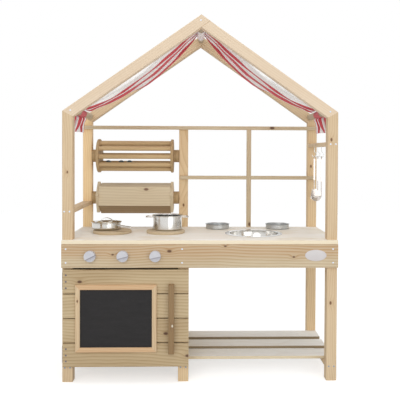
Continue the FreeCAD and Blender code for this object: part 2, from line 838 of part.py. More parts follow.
def drum():
    """A cage of round dowels let into two discs, with bells loose inside."""
    at = (spinner_middle, spinner_y, drum_axis_height)
    face = hub_start - d.hub_thickness - d.drum_disc_thickness
    dowel_places = ring_points(DOWEL_COUNT, d.dowel_circle_radius, d.dowel_phase_angle)
    body = new_body("drum_discs", at)
    left = -(face + d.drum_disc_thickness)
    arris = d.arris_radius
    rim = d.drum_radius
    disc = revolve(body, Sketch(body, "XZ_Plane").chain([
        (left, 0), (-face, 0), (-face, rim - arris), (-face - arris, rim, arris),
        (left + arris, rim), (left, rim - arris, arris)]), "H_Axis")
    sockets = Sketch(body, "YZ_Plane", -face)
    for place_of_dowel in dowel_places:
        sockets.circle(place_of_dowel, d.dowel_radius)
    mirror_in_x(body, [disc, cut_down(body, sockets, d.dowel_socket_depth)])
    body = new_body("drum_dowels", at)
    section = Sketch(body, "YZ_Plane")
    for place_of_dowel in dowel_places:
        section.circle(place_of_dowel, d.dowel_radius)
    pad(body, section, 2 * (face + d.dowel_socket_depth), both_ways=True)
    spinner_hubs("drum_hubs", drum_axis_height)


def ball(name, x, z, radius):
    item = doc.addObject("Part::Sphere", name)
    item.Radius = number(radius)
    tie(item, "Radius", radius)
    place(item, (x, 0, z))
    return item


def bells():
    """Three hollow bells with a sound slot below and a loose pellet inside."""
    pieces = []
    inner = d.bell_radius - d.bell_wall_thickness
    disc_face = hub_start - d.hub_thickness - d.drum_disc_thickness
    left = d.bell_end_gap + d.bell_radius - disc_face
    middle = left + 2 * d.bell_radius + d.wide_bell_gap
    right = middle + 2 * d.bell_radius + d.narrow_bell_gap
    for name, x in (("left", left), ("middle", middle), ("right", right)):
        outside = ball(name + "_bell_outside", x, -d.bell_depth, d.bell_radius)
        inside = ball(name + "_bell_inside", x, -d.bell_depth, inner)
        slot = doc.addObject("Part::Box", name + "_bell_slot")
        size = {"Length": 2 * d.bell_radius, "Width": d.bell_slot_width, "Height": d.bell_radius}
        for side, length in size.items():
            setattr(slot, side, number(length))
            tie(slot, side, length)
        place(slot, (x - d.bell_radius, -d.bell_slot_width / 2, -d.bell_depth - d.bell_radius))
        tools = doc.addObject("Part::Fuse", name + "_bell_hollow")
        tools.Base = inside
        tools.Tool = slot
        shell = doc.addObject("Part::Cut", name + "_bell_shell")
        shell.Base = outside
        shell.Tool = tools
        pellet_z = d.pellet_radius + d.seat_gap - d.bell_depth - inner
        pieces += [shell, ball(name + "_bell_pellet", x, pellet_z, d.pellet_radius)]
    group = doc.addObject("Part::Compound", "drum_bells")
    group.Label = "drum_bells"
    group.Links = pieces
    place(group, (spinner_middle, spinner_y, drum_axis_height))
    SUB_PARTS.append(group)


def box():
    """A five-sided spinning box: panels with mitred edges between two end plates."""
    at = (spinner_middle, spinner_y, box_axis_height)
    corner = HALF_TURN / BOX_SIDE_COUNT
    face = hub_start - d.hub_thickness - d.box_end_thickness
    body = new_body("box_ends", at)
    section = Sketch(body, "YZ_Plane", -(face + d.box_end_thickness))
    section.chain(ring_points(BOX_SIDE_COUNT, d.box_radius, corner - d.box_tilt_angle))
    mirror_in_x(body, [pad(body, section, d.box_end_thickness)])
    body = new_body("box_panels", at, (1, 0, 0), -d.box_tilt_angle)
    outer = d.box_radius * cosine(corner)
    inner = outer - d.box_panel_thickness
    half_outer = outer * tangent(corner) - d.side_clearance / 2
    half_inner = inner * tangent(corner) - d.side_clearance / 2
    section = Sketch(body, "YZ_Plane").chain([
        (-outer, half_outer), (-outer, -half_outer), (-inner, -half_inner), (-inner, half_inner)])
    ring_of(body, [pad(body, section, 2 * face, both_ways=True)], "X_Axis", BOX_SIDE_COUNT)
    spinner_hubs("box_hubs", box_axis_height)


def trivets():
    body = new_body("trivets", on_worktop(LEFT_TRIVET_SHARE, TRIVET_BACK_SHARE, d.worktop_height))
    top = d.trivet_thickness
    edge = d.trivet_radius
    arris = d.arris_radius
    section = Sketch(body, "XZ_Plane").chain([
        (0, 0), (edge - arris, 0), (edge, arris, arris), (edge, top - arris),
        (edge - arris, top, arris), (0, top)])
    spacing = half_width * (RIGHT_TRIVET_SHARE - LEFT_TRIVET_SHARE)
    row_of(body, [revolve(body, section)], "X_Axis", spacing, 2)


def vessel(label, at, radius, height, corner, angle=0):
    """A spun steel vessel with a rounded bottom corner and a flared rim."""
    body = new_body(label, at, angle=angle)
    wall = d.metal_thickness
    flare = d.rim_flare_radius
    section = Sketch(body, "XZ_Plane").chain([
        (0, 0), (radius - corner, 0), (radius, corner, corner), (radius, height - wall - flare),
        (radius + flare, height - wall, -flare), (radius + flare, height),
        (radius - wall, height - wall - flare, flare + wall), (radius - wall, corner),
        (radius - corner, wall, -(corner - wall)), (0, wall)])
    revolve(body, section)
    return body


def frying_pan():
    at = on_worktop(*PAN_SHARES, trivet_seat)
    body = vessel("frying_pan", at, d.pan_radius, d.pan_height, d.pan_corner_radius, d.pan_handle_angle)
    low = d.pan_height - d.pan_handle_drop - d.pan_handle_thickness
    half = d.pan_handle_width / 2
    handle = Sketch(body, "XY_Plane", low).rounded(
        (d.pan_radius - d.metal_thickness / 2, -half), (d.pan_radius + d.pan_handle_length, half),
        d.arris_radius)
    pad(body, handle, d.pan_handle_thickness)


def pan_lid():
    """A shallow domed lid with a lip that locates it in the pan and a strap to lift it by."""
    at = on_worktop(*PAN_SHARES, trivet_seat + d.pan_height + d.seat_gap)
    body = new_body("pan_lid", at)
    rim = d.pan_radius + d.rim_flare_radius
    dome = (rim * rim + d.lid_dish_depth * d.lid_dish_depth) / (2 * d.lid_dish_depth)
    revolve(body, Sketch(body, "XZ_Plane").chain([
        (rim, 0, -dome), (rim, d.metal_thickness), (0, d.lid_dish_depth + d.metal_thickness, dome),
        (0, d.lid_dish_depth)]))
    lip = d.pan_radius - d.metal_thickness - d.lid_gap
    section = Sketch(body, "XY_Plane", -d.lid_lip_depth).circle((0, 0), lip)
    section.circle((0, 0), lip - d.metal_thickness)
    pad(body, section, d.lid_lip_depth + d.metal_thickness)
    half = d.lid_strap_length / 2
    rise = d.lid_strap_height
    bend = (half * half + rise * rise) / (2 * rise)
    inner_bend = bend - d.lid_strap_thickness
    inner_half = root(inner_bend * inner_bend - (bend - rise) * (bend - rise))
    strap = Sketch(body, "XZ_Plane").chain([
        (half, d.lid_dish_depth), (-half, d.lid_dish_depth, bend), (-inner_half, d.lid_dish_depth),
        (inner_half, d.lid_dish_depth, -inner_bend)])
    pad(body, strap, d.lid_strap_width, both_ways=True)


def saucepan():
    """The pot has a bent wire handle on each side."""
    at = on_worktop(*POT_SHARES, trivet_seat)
    body = vessel("saucepan", at, d.pot_radius, d.pot_height, d.pot_corner_radius)
    half = d.pot_handle_width / 2
    start = root(d.pot_radius * d.pot_radius - half * half) - d.metal_thickness / 2
    reach = d.pot_radius + d.pot_handle_length - d.pot_handle_wire_radius
    bend = d.pot_handle_bend_radius
    height = d.pot_height - d.pot_handle_drop
    spine = Sketch(body, "XY_Plane", height).chain([
        (start, -half), (reach - bend, -half), (reach, bend - half, bend), (reach, half - bend),
        (reach - bend, half, bend), (start, half)], closed=False)
    profile = Sketch(body, "YZ_Plane", start).circle((-half, height), d.pot_handle_wire_radius)
    ring_of(body, [sweep(body, profile, spine)], "Z_Axis", 2)


def dish(label, across_share):
    rim = d.dish_radius + d.rim_flare_radius
    at = (half_width * across_share, back - d.dish_back_gap - rim, d.worktop_height + d.seat_gap)
    vessel(label, at, d.dish_radius, d.dish_height, d.arris_radius + d.metal_thickness)


def sink_bowl():
    """A loose steel bowl that hangs by its rim in the worktop's hole."""
    at = on_worktop(*SINK_SHARES, d.worktop_height + d.seat_gap)
    body = new_body("sink_bowl", at)
    wall = d.metal_thickness
    bend = d.sink_wall_radius
    revolve(body, Sketch(body, "XZ_Plane").chain([
        (0, -d.sink_depth), (d.sink_floor_radius, -d.sink_depth), (d.sink_mouth_radius, 0, bend),
        (d.sink_rim_radius, 0), (d.sink_rim_radius, wall), (d.sink_mouth_radius - wall, wall),
        (d.sink_floor_radius, wall - d.sink_depth, -bend), (0, wall - d.sink_depth)]))


def utensil_hooks():
    """Question-mark hooks of round wire under the right rail."""
    body = new_body("utensil_hooks", (hook_x, hook_y(0), hook_top))
    bend = d.hook_bend_radius
    across = bend * cosine(d.hook_turn_angle)
    down = bend * sine(d.hook_turn_angle)
    middle = -(d.hook_stem_length + 2 * down)
    spine = Sketch(body, "XZ_Plane").chain([
        (0, 0), (0, -d.hook_stem_length), (across, -(d.hook_stem_length + down), bend),
        (across, middle - down, -bend), (-bend, middle, -bend)], closed=False)
    profile = Sketch(body, "XY_Plane").circle((0, 0), d.hook_wire_radius)
    row_of(body, [sweep(body, profile, spine)], "Y_Axis", d.hook_pitch, HOOK_COUNT)


def utensil(label, index, stem_end, shift=0):
    """A hanging tool's ring, grip and stem, set off to one side of the body's own axis."""
    at = (hook_x - shift, hook_y(index), ring_height)
    body = new_body(label, at)
    loop = d.ring_radius + d.ring_wire_radius
    section = Sketch(body, "XZ_Plane").circle((shift, loop), d.ring_wire_radius)
    revolve(body, section, "H_Axis")
    half = d.grip_width / 2
    grip_end = -(loop + d.grip_length)
    grip = Sketch(body, "XZ_Plane").rounded(
        (shift - half, grip_end), (shift + half, -loop), d.grip_thickness)
    pad(body, grip, d.grip_thickness, both_ways=True)
    stem = Sketch(body, "XY_Plane", stem_end).circle((shift, 0), d.utensil_rod_radius)
    pad(body, stem, grip_end + d.utensil_rod_radius - stem_end)
    return body


def turner(label, index):
    top = d.blade_length - d.utensil_length
    body = utensil(label, index, top - d.utensil_rod_radius)
    neck = d.blade_neck_width / 2
    half = d.blade_width / 2
    blade = Sketch(body, "XZ_Plane").chain([
        (-half, -d.utensil_length), (half, -d.utensil_length), (neck, top), (-neck, top)])
    pad(body, blade, d.blade_thickness, both_ways=True)


def ladle():
    """The ladle's bowl is beside its stem, which meets the rim."""
    rim = d.ladle_radius - d.utensil_length
    body = utensil("ladle", 0, rim - d.utensil_rod_radius, d.ladle_offset)
    inner = d.ladle_radius - d.metal_thickness
    revolve(body, Sketch(body, "XZ_Plane").chain([
        (0, -d.utensil_length), (d.ladle_radius, rim, d.ladle_radius), (inner, rim),
        (0, d.metal_thickness - d.utensil_length, -inner)]))


def ribbon(near, far, top, fold):
    """The outline of folded cloth as (along, up) points: equal folds to either side of its top."""
    chord = (far - near) / CANOPY_FOLD_COUNT
    bend = (chord * chord / 4 + fold * fold) / (2 * fold)
    turns = [bend if index % 2 else -bend for index in range(CANOPY_FOLD_COUNT)]
    ends = [near + index * chord for index in range(CANOPY_FOLD_COUNT + 1)]
    under = top - d.cloth_thickness
    out = [(place_along, top, turn) for place_along, turn in zip(ends[1:], turns)]
    home = [(place_along, under, -turn) for place_along, turn in zip(ends[-2::-1], turns[::-1])]
    return [(ends[0], top)] + out + [(ends[-1], under)] + home


def canopy():
    """Striped cloth over the ridge bar, sagging in folds on both slopes to the eave bars. It is
    gathered there, and its ends hang down flat outside the bars."""
    body = new_body("canopy")
    wrap_inner = d.bar_diameter / 2 + d.cloth_clearance
    wrap = wrap_inner + d.cloth_thickness
    ridge_z = apex_height - d.ridge_bar_depth
    eave_z = eave_height + d.eave_bar_height
    eave_x = half_width - d.eave_bar_distance
    near = [behind_front_posts + span * share for share in NEAR_EDGE_SHARES]
    far = [behind_front_posts + span * share for share in FAR_EDGE_SHARES]
    start = wrap * sine(d.roof_angle)
    start_z = ridge_z + wrap * cosine(d.roof_angle)
    end_z = eave_z + wrap
    sleeve = Sketch(body, "XZ_Plane", -near[0])
    sleeve.circle((0, ridge_z), wrap_inner).circle((0, ridge_z), wrap)
    pad(body, sleeve, far[0] - near[0], backwards=True)
    folds = (d.cloth_thickness / 2, d.canopy_fold_height / 2, d.canopy_fold_height,
             d.canopy_gather_fold_height, d.cloth_clearance)
    for side in (-1, 1):
        sections = []
        for share, low, high, fold in zip(STATION_SHARES, near, far, folds):
            across = start + (eave_x - start) * share
            sag = d.canopy_sag_depth * (1 - (1 - 2 * share) ** 2)
            top = start_z + (end_z - start_z) * share - sag
            sections.append(Sketch(body, "YZ_Plane", side * across).chain(
                ribbon(low, high, top, fold)))
        slope = body.newObject("PartDesign::AdditiveLoft", "canopy_slope")
        slope.Profile = sections[0].item
        slope.Sections = [section.item for section in sections[1:]]
        band = Sketch(body, "XZ_Plane", -near[-1])
        band.circle((side * eave_x, eave_z), wrap_inner).circle((side * eave_x, eave_z), wrap)
        pad(body, band, far[-1] - near[-1], backwards=True)
        flap = Sketch(body, "XZ_Plane", -near[-1]).chain([
            (side * (eave_x + wrap_inner), eave_z), (side * (eave_x + wrap), eave_z),
            (side * (eave_x + wrap), eave_z - d.flap_length),
            (side * (eave_x + wrap_inner), eave_z - d.flap_length)])
        pad(body, flap, far[-1] - near[-1], backwards=True)


corner_post("front_left_post", -1, front)
corner_post("front_right_post", 1, front)
corner_post("back_left_post", -1, back, (box_axis_height, drum_axis_height))
corner_post("back_right_post", 1, back)
board("front_middle_leg", "z", (leg_left, front, 0), (d.post_side, d.post_side, worktop_underside))
back_middle_post()
for name, y in (("front", front), ("back", back)):
    left_rafter(name + "_left_rafter", y)
    right_rafter(name + "_right_rafter", y)
round_bar("ridge_bar", 0, apex_height - d.ridge_bar_depth)
round_bar("left_eave_bar", d.eave_bar_distance - half_width, eave_height + d.eave_bar_height)
round_bar("right_eave_bar", half_width - d.eave_bar_distance, eave_height + d.eave_bar_height)
left_rail_top = d.worktop_height + d.left_rail_height + d.rail_thickness / 2
side_rail("left_side_rail", -half_width, left_rail_top)
side_rail("right_side_rail", half_width - d.rail_width, right_rail_height + d.rail_thickness / 2)
side_rail("lower_left_rail", -half_width, d.lower_rail_top)
side_rail("lower_middle_rail", low_rail_middle - d.rail_width / 2, d.lower_rail_top)
side_rail("lower_right_rail", half_width - d.rail_width, d.lower_rail_top)
window()
worktop()
aprons()
shelf()
cabinet()
door()
chalkboard()
hinges()
for index, turn in enumerate(KNOB_TURNS):
    knob(index, turn)
spinner_pins()
drum()
bells()
box()
trivets()
frying_pan()
pan_lid()
saucepan()
dish("left_dish", LEFT_DISH_SHARE)
dish("right_dish", RIGHT_DISH_SHARE)
sink_bowl()
utensil_hooks()
turner("far_turner", 2)
turner("middle_turner", 1)
ladle()
canopy()

doc.recompute()
failed = [item.Name for item in doc.Objects if {"Invalid", "Error"} & set(item.State)]
if failed:
    raise RuntimeError("failed objects: " + ", ".join(failed))
for item in SUB_PARTS:
    if item.Shape.isNull() or not item.Shape.isValid():
        raise RuntimeError("bad shape: " + item.Label)
os.makedirs("parts", exist_ok=True)
for item in SUB_PARTS:
    item.Shape.exportStep(f"parts/{item.Label}.step")
print(len(SUB_PARTS), "sub-parts written")
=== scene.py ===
import math
import random

import bpy
from mathutils import Matrix, Vector


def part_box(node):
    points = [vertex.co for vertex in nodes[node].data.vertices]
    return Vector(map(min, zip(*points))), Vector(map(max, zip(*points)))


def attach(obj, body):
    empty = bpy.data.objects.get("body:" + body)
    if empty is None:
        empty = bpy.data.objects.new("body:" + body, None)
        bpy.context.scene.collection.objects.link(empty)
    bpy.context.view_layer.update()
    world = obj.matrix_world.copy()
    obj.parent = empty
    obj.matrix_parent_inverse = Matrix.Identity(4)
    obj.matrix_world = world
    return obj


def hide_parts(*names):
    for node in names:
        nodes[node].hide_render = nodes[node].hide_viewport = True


# Lengths are in metres. The front is towards -Y, and each named place is in the frame of the solids.

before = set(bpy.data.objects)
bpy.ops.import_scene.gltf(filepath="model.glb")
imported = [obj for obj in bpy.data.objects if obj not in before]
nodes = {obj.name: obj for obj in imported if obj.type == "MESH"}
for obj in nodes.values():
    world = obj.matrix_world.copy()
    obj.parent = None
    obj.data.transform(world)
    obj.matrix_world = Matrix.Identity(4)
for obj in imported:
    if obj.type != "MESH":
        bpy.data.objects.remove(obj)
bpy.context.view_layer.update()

MM = 0.001
ROOF_PITCH = math.radians(35)
FRONT_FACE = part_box("front_apron")[0].y
POST_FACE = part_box("front_left_post")[0].y


def centre_of(node):
    low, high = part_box(node)
    return (low + high) / 2


def srgb(red, green, blue):
    """A colour given as it looks on a screen, from 0 to 255, as the linear values a shader takes."""
    channels = [v / 255 for v in (red, green, blue)]
    linear = [v / 12.92 if v <= 0.04045 else ((v + 0.055) / 1.055) ** 2.4 for v in channels]
    return (*linear, 1)


# Node trees as expressions

class Socket:
    """A node's output that takes part in sums, products and comparisons."""

    def __init__(self, tree, output):
        self.tree = tree
        self.output = output

    def maths(self, operation, *values, clamp=False):
        settings = {"operation": operation, "use_clamp": clamp}
        return self.tree.node("ShaderNodeMath", settings, dict(enumerate(values)))

    def __add__(self, other):
        return self.maths("ADD", self, other)

    def __radd__(self, other):
        return self.maths("ADD", other, self)

    def __sub__(self, other):
        return self.maths("SUBTRACT", self, other)

    def __rsub__(self, other):
        return self.maths("SUBTRACT", other, self)

    def __mul__(self, other):
        return self.maths("MULTIPLY", self, other)

    def __rmul__(self, other):
        return self.maths("MULTIPLY", other, self)

    def __truediv__(self, other):
        return self.maths("DIVIDE", self, other)

    def __pow__(self, power):
        return self.maths("POWER", self, power)

    def sine(self):
        return self.maths("SINE", self)

    def floor(self):
        return self.maths("FLOOR", self)

    def fraction(self):
        return self.maths("FRACT", self)

    def size(self):
        return self.maths("ABSOLUTE", self)

    def larger(self, other):
        return self.maths("MAXIMUM", self, other)

    def clamped(self):
        return self.maths("ADD", self, 0, clamp=True)

    def above(self, level, softness):
        """0 below a level and 1 above it, with a soft step."""
        return ((self - (level - softness / 2)) * (1 / softness)).clamped()


class Tree:
    """A node tree. Each node comes from node, with its settings, then its inputs by name or number."""

    def __init__(self, node_tree):
        self.node_tree = node_tree

    def node(self, kind, settings, inputs, output=0):
        item = self.node_tree.nodes.new(kind)
        for key, value in settings.items():
            setattr(item, key, value)
        for key, value in inputs.items():
            self.feed(item.inputs[key], value)
        return Socket(self, item.outputs[output])

    def feed(self, socket, value):
        if isinstance(value, Socket):
            self.node_tree.links.new(value.output, socket)
        else:
            socket.default_value = value

    def outputs(self, kind, inputs, keys):
        """Several outputs of one node."""
        item = self.node(kind, {}, inputs).output.node
        return [Socket(self, item.outputs[key]) for key in keys]


class Shader(Tree):
    """A material's node tree."""

    def __init__(self, name):
        self.material = bpy.data.materials.new(name)
        self.material.use_nodes = True
        super().__init__(self.material.node_tree)
        self.surface = self.node_tree.nodes["Principled BSDF"]

    def place(self):
        """Object coordinates, as three numbers."""
        here = self.node("ShaderNodeTexCoord", {}, {}, "Object")
        return self.outputs("ShaderNodeSeparateXYZ", {0: here}, "XYZ")

    def uv(self):
        """The piece's own UV map, as two numbers."""
        here = self.node("ShaderNodeUVMap", {}, {}, "UV")
        return self.outputs("ShaderNodeSeparateXYZ", {0: here}, "XY")

    def noise(self, place, waves, detail=2, roughness=0.5, shift=0):
        """Noise with so many waves to the metre, or a number of them for each axis. A shift along
        the first axis keeps it from following another noise with the same waves."""
        if not isinstance(waves, tuple):
            waves = (waves, waves, waves)
        spread = [value * wave for value, wave in zip(place, waves)]
        if shift:
            spread[0] = spread[0] + shift
        vector = self.node("ShaderNodeCombineXYZ", {}, dict(enumerate(spread)))
        inputs = {"Vector": vector, "Scale": 1, "Detail": detail, "Roughness": roughness}
        return self.node("ShaderNodeTexNoise", {}, inputs)

    def mix(self, factor, first, second):
        """A mix of two colours, whose sockets share their names with others and go by number."""
        inputs = {"Factor": factor, 6: first, 7: second}
        return self.node("ShaderNodeMix", {"data_type": "RGBA"}, inputs, 2)

    def bump(self, height, strength, distance):
        inputs = {"Height": height, "Strength": strength, "Distance": distance}
        return self.node("ShaderNodeBump", {}, inputs)

    def set(self, **values):
        """Sets or links sockets of the surface."""
        for key, value in values.items():
            self.feed(self.surface.inputs[key.replace("_", " ")], value)
        return self.material


def dress(node, *materials, takes_second=None):
    """Gives a node its material, or two, where the second is for the faces that take it."""
    mesh = nodes[node].data
    mesh.materials.clear()
    for material in materials:
        mesh.materials.append(material)
    if takes_second:
        for face in mesh.polygons:
            face.material_index = 1 if takes_second(face) else 0


# Wood

# Each tone's early wood, late wood and knots.
WOODS = {
    "pine": (srgb(216, 200, 170), srgb(178, 146, 106), srgb(92, 60, 46)),
    "door": (srgb(208, 188, 152), srgb(160, 130, 90), srgb(88, 58, 46)),
    "warm": (srgb(226, 203, 168), srgb(196, 162, 122), srgb(110, 72, 48)),
    "honey": (srgb(236, 210, 170), srgb(204, 168, 122), srgb(112, 70, 44)),
    "sunny": (srgb(255, 226, 178), srgb(226, 186, 132), srgb(112, 70, 44)),
    "rosy": (srgb(222, 188, 148), srgb(198, 154, 112), srgb(110, 72, 48)),
    "rafter": (srgb(238, 219, 194), srgb(216, 188, 154), srgb(150, 112, 78)),
    "pale": (srgb(255, 252, 244), srgb(234, 220, 192), srgb(176, 140, 98)),
    "grey": (srgb(255, 253, 249), srgb(234, 226, 214), srgb(150, 124, 100)),
    "light": (srgb(224, 208, 178), srgb(194, 172, 136), srgb(120, 84, 66)),
    "brown": (srgb(200, 172, 130), srgb(156, 126, 88), srgb(84, 62, 42)),
    "dowel": (srgb(218, 190, 146), srgb(172, 142, 100), srgb(84, 62, 42)),
    # Painted shade for the box's downward panel faces.
    "shade": (srgb(170, 142, 100), srgb(136, 108, 72), srgb(84, 62, 42)),
    "handle": (srgb(156, 128, 92), srgb(106, 80, 54), srgb(236, 228, 208)),
    "bar": (srgb(200, 184, 158), srgb(162, 142, 112), srgb(110, 88, 62)),
}
HEARTWOOD = srgb(188, 138, 92)

# The year rings' middle lies behind the board, and a small flatness makes wide arches of them.
RING_SIDE = 20 * MM
RING_DEPTH = (160 * MM, 200 * MM)
RING_FLATNESS = 0.12

# Waves to the metre along the grain, across it and through the board, and how far each noise
# moves the rings.
WARP_WAVES = (3.5, 9, 9)
WARP_SIZE = 20 * MM
WANDER_WAVES = (3.2, 0.8, 0.8)
WANDER_SIZE = 300 * MM
SWAY_WAVES = (1.1, 0.8, 0.8)
SWAY_SIZE = 100 * MM
FIBRE_WAVES = (14, 420, 420)
BLOTCH_WAVES = (2.2, 12, 12)

# How dark early wood is, and how much late wood, fibres and blotches change that.
EARLY_SHADE = 0.16
LATE_SHADE = 0.95
FIBRE_SHADE = 0.4
BLOTCH_SHADE = 0.9
LATE_WOOD_END = 0.95

# A knot's outline is drawn out along the grain, and the rings bend round it as far as its reach.
KNOT_STRETCH = 0.35
KNOT_REACH = 6
KNOT_EDGE = 0.6
KNOT_BEND = 14 * MM

# Boards of one node are cut from different lengths, and each has a tone of its own.
BOARD_SHIFT = 1.37
BOARD_STEP = 0.618
BOARD_TONES = 0.3

FRONT_SKIN = 1.5 * MM
HEARTWOOD_EDGE = 30 * MM

# Knots that the photograph shows on front faces, and a pale dot on the door's handle: (x, z,
# radius) in millimetres.
KNOTS = {
    "front_left_post": [(-505, 800, 3)],
    "front_right_post": [(499, 927, 4), (500, 300, 4)],
    "back_right_post": [(499, 816, 4)],
    "back_middle_post": [(-75, 640, 4)],
    "back_top_rail": [(320, 987, 6)],
    "window_muntin": [(220, 556, 5)],
    "front_apron": [(-332, 489, 3), (-118, 502, 5), (94, 521, 3), (355, 480, 3)],
    "door_boards": [(-455, 387, 5), (-131, 190, 5), (-48, 105, 5)],
    "door_handle": [(-105, 226, 3)],
}


def knots_on(node):
    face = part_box(node)[0].y
    return [(x * MM, face, z * MM, radius * MM) for x, z, radius in KNOTS.get(node, ())]


def by_grain(place, grain, turn=0):
    """A place as its parts along the grain, across it and through the board. Turn tilts the
    grain about Y."""
    x, y, z = place
    if turn:
        x, z = (x * math.cos(turn) + z * math.sin(turn), z * math.cos(turn) - x * math.sin(turn))
    return {"x": (x, z, y), "y": (y, x, z), "z": (z, x, y)}[grain]


def knot_masks(here, knots, grain):
    """Where the knots are, and where the rings swell round them."""
    spots = 0
    swell = 0
    for x, y, z, radius in knots:
        away = (here[0] - x, here[1] - y, here[2] - z)
        along, across, through = by_grain(away, grain)
        far = (along * along * KNOT_STRETCH + across * across + through * through) ** 0.5
        swell = (1 - (far * (1 / (radius * KNOT_REACH))).clamped()) ** 2 + swell
        spots = 1 - far.above(radius, radius * KNOT_EDGE) + spots
    return spots, swell


def wood(name, tone, grain, seed, knots=(), turn=0, ring_gap=9 * MM, boards=None, lines=0.6,
         heart_from=None, front=None):
    """Planed softwood. Grain is the axis that the fibres run along, turn tilts it about Y, and
    knots are (x, y, z, radius). Boards are (lowest edge, pitch) where one node holds several above
    each other, the wood is redder from the height heart_from up, and front is a front face's place
    and the colour of the shade painted on it."""
    light, dark, knot_dark = WOODS[tone]
    s = Shader(name)
    here = s.place()
    along, across, through = by_grain(here, grain, turn)
    luck = random.Random(seed)
    along = along + luck.uniform(-3, 3)
    own = 0
    if boards:
        start, pitch = boards
        number = ((here[2] - start) * (1 / pitch)).floor()
        along = along + number * BOARD_SHIFT
        own = ((number * BOARD_STEP + luck.random()).fraction() - 0.5) * BOARD_TONES
    spots, swell = knot_masks(here, knots, grain)
    place = (along, across, through)
    warp = s.noise(place, WARP_WAVES)
    wander = s.noise(place, WANDER_WAVES, detail=1)
    sway = s.noise(place, SWAY_WAVES, detail=1, shift=31.7)
    side = across - luck.uniform(-RING_SIDE, RING_SIDE) + (sway - 0.5) * SWAY_SIZE
    depth = through + luck.uniform(*RING_DEPTH) + (wander - 0.5) * WANDER_SIZE
    rings = (side * side + (depth * depth) * RING_FLATNESS) ** 0.5 + (warp - 0.5) * WARP_SIZE
    if knots:
        rings = rings + swell * KNOT_BEND
    phase = (rings * (1 / ring_gap)).fraction()
    late = (phase * phase * phase) * (1 - phase.above(LATE_WOOD_END, 0.1))
    fibre = s.noise(place, FIBRE_WAVES, roughness=0.6)
    blotch = s.noise(place, BLOTCH_WAVES, shift=7.3)
    shade = (late * (LATE_SHADE * lines) + (fibre - 0.5) * FIBRE_SHADE
             + (blotch - 0.5) * BLOTCH_SHADE + EARLY_SHADE + own)
    colour = s.mix(shade.clamped(), light, dark)
    # A front face takes a colour of its own: painted shade.
    if front:
        front_y, front_shade = front
        face = 1 - (here[1] - front_y).above(FRONT_SKIN, 1 * MM)
        colour = s.mix(face, colour, front_shade)
    if heart_from:
        heart = (here[2] + (warp - 0.5) * HEARTWOOD_EDGE).above(heart_from, HEARTWOOD_EDGE)
        colour = s.mix(heart * (late * 0.6 + 0.22), colour, HEARTWOOD)
    if knots:
        colour = s.mix((swell * 0.5).clamped(), colour, dark)
        colour = s.mix((spots * 0.9).clamped(), colour, knot_dark)
    return s.set(Base_Color=colour, Roughness=(fibre - 0.5) * 0.2 + 0.6, Specular_IOR_Level=0.3,
                 Normal=s.bump(fibre * 0.5 + late * 0.5, 0.25, 0.3 * MM))


def dress_frame():
    posts = {
        "front_left_post": "warm",
        "front_right_post": "warm",
        "back_left_post": "sunny",
        "back_right_post": "honey",
        "back_middle_post": "honey",
        "front_middle_leg": "honey",
    }
    for seed, (name, tone) in enumerate(posts.items()):
        dress(name, wood(name + "_pine", tone, "z", seed + 11, knots_on(name)))
    for side, turn in (("left", ROOF_PITCH), ("right", -ROOF_PITCH)):
        seed = 31 if side == "left" else 32
        front = f"front_{side}_rafter"
        back = f"back_{side}_rafter"
        dress(front, wood(front + "_pine", "rafter", "x", seed, turn=turn, lines=0.5))
        dress(back, wood(back + "_pine", "warm", "x", seed + 10, turn=turn))
    for seed, name in enumerate(("ridge_bar", "left_eave_bar", "right_eave_bar")):
        dress(name, wood(name + "_round", "bar", "y", seed + 51))
    for seed, name in enumerate(("left_side_rail", "right_side_rail", "lower_left_rail",
                                 "lower_middle_rail", "lower_right_rail")):
        dress(name, wood(name + "_pine", "warm", "y", seed + 61))
    dress("back_top_rail", wood("back_top_rail_pine", "pine", "x", 71, knots_on("back_top_rail")))
    dress("back_middle_rail", wood("back_middle_rail_pine", "pine", "x", 72))
    dress("window_muntin", wood("muntin_pine", "pine", "z", 75, knots_on("window_muntin")))


def dress_worktop_and_shelf():
    # The worktop's front face takes a darker colour: painted shade.
    dress("worktop", wood("worktop_pine", "pale", "x", 76, ring_gap=14 * MM, lines=0.5,
                          front=(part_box("worktop")[0].y, srgb(246, 232, 204))))
    dress("front_apron", wood("apron_pine", "pine", "x", 77, knots_on("front_apron"), ring_gap=11 * MM,
                              lines=0.8, heart_from=478 * MM))
    dress("back_apron", wood("back_apron_pine", "pine", "x", 78))
    # The slats' front faces take colours of their own, painted shade: deep in the gaps for the middle
    # and back slats, faint on the front slat.
    shaded_fronts = {"front": srgb(232, 216, 184), "middle": srgb(160, 142, 114), "back": srgb(150, 133, 106)}
    for seed, (place, edge) in enumerate(shaded_fronts.items()):
        name = "shelf_slat_" + place
        dress(name, wood(name + "_pine", "grey", "x", seed + 81, lines=0.4,
                         front=(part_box(name)[0].y, edge)))
    dress("trivets", wood("trivet_pine", "pine", "x", 105))


def dress_cupboard():
    for seed, name in enumerate(("cabinet_sides", "cabinet_back", "cabinet_floor")):
        dress(name, wood(name + "_ply", "door", "z", seed + 91, lines=0.25))
    dress("door_boards", wood("door_pine", "door", "x", 104, knots_on("door_boards"), ring_gap=12 * MM,
                              boards=(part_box("door_boards")[0].z, 93 * MM), lines=0.7))
    dress("door_battens", wood("door_batten_pine", "door", "z", 102))
    dress("door_handle", wood("handle_brown", "handle", "z", 104, knots_on("door_handle"),
                              ring_gap=6 * MM))


def dress_board_frame():
    """The chalkboard's frame: each side's grain follows it, and the sides meet on mitres."""
    low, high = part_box("chalkboard_frame")
    middle = (low + high) / 2
    level = wood("board_frame_level", "rosy", "x", 107)
    knot = (low.x + 9 * MM, low.y, 316 * MM, 3 * MM)
    upright = wood("board_frame_upright", "warm", "z", 106, [knot])

    def stands(face):
        away = face.center - middle
        return (high.x - middle.x) - abs(away.x) < (high.z - middle.z) - abs(away.z)

    dress("chalkboard_frame", level, upright, takes_second=stands)


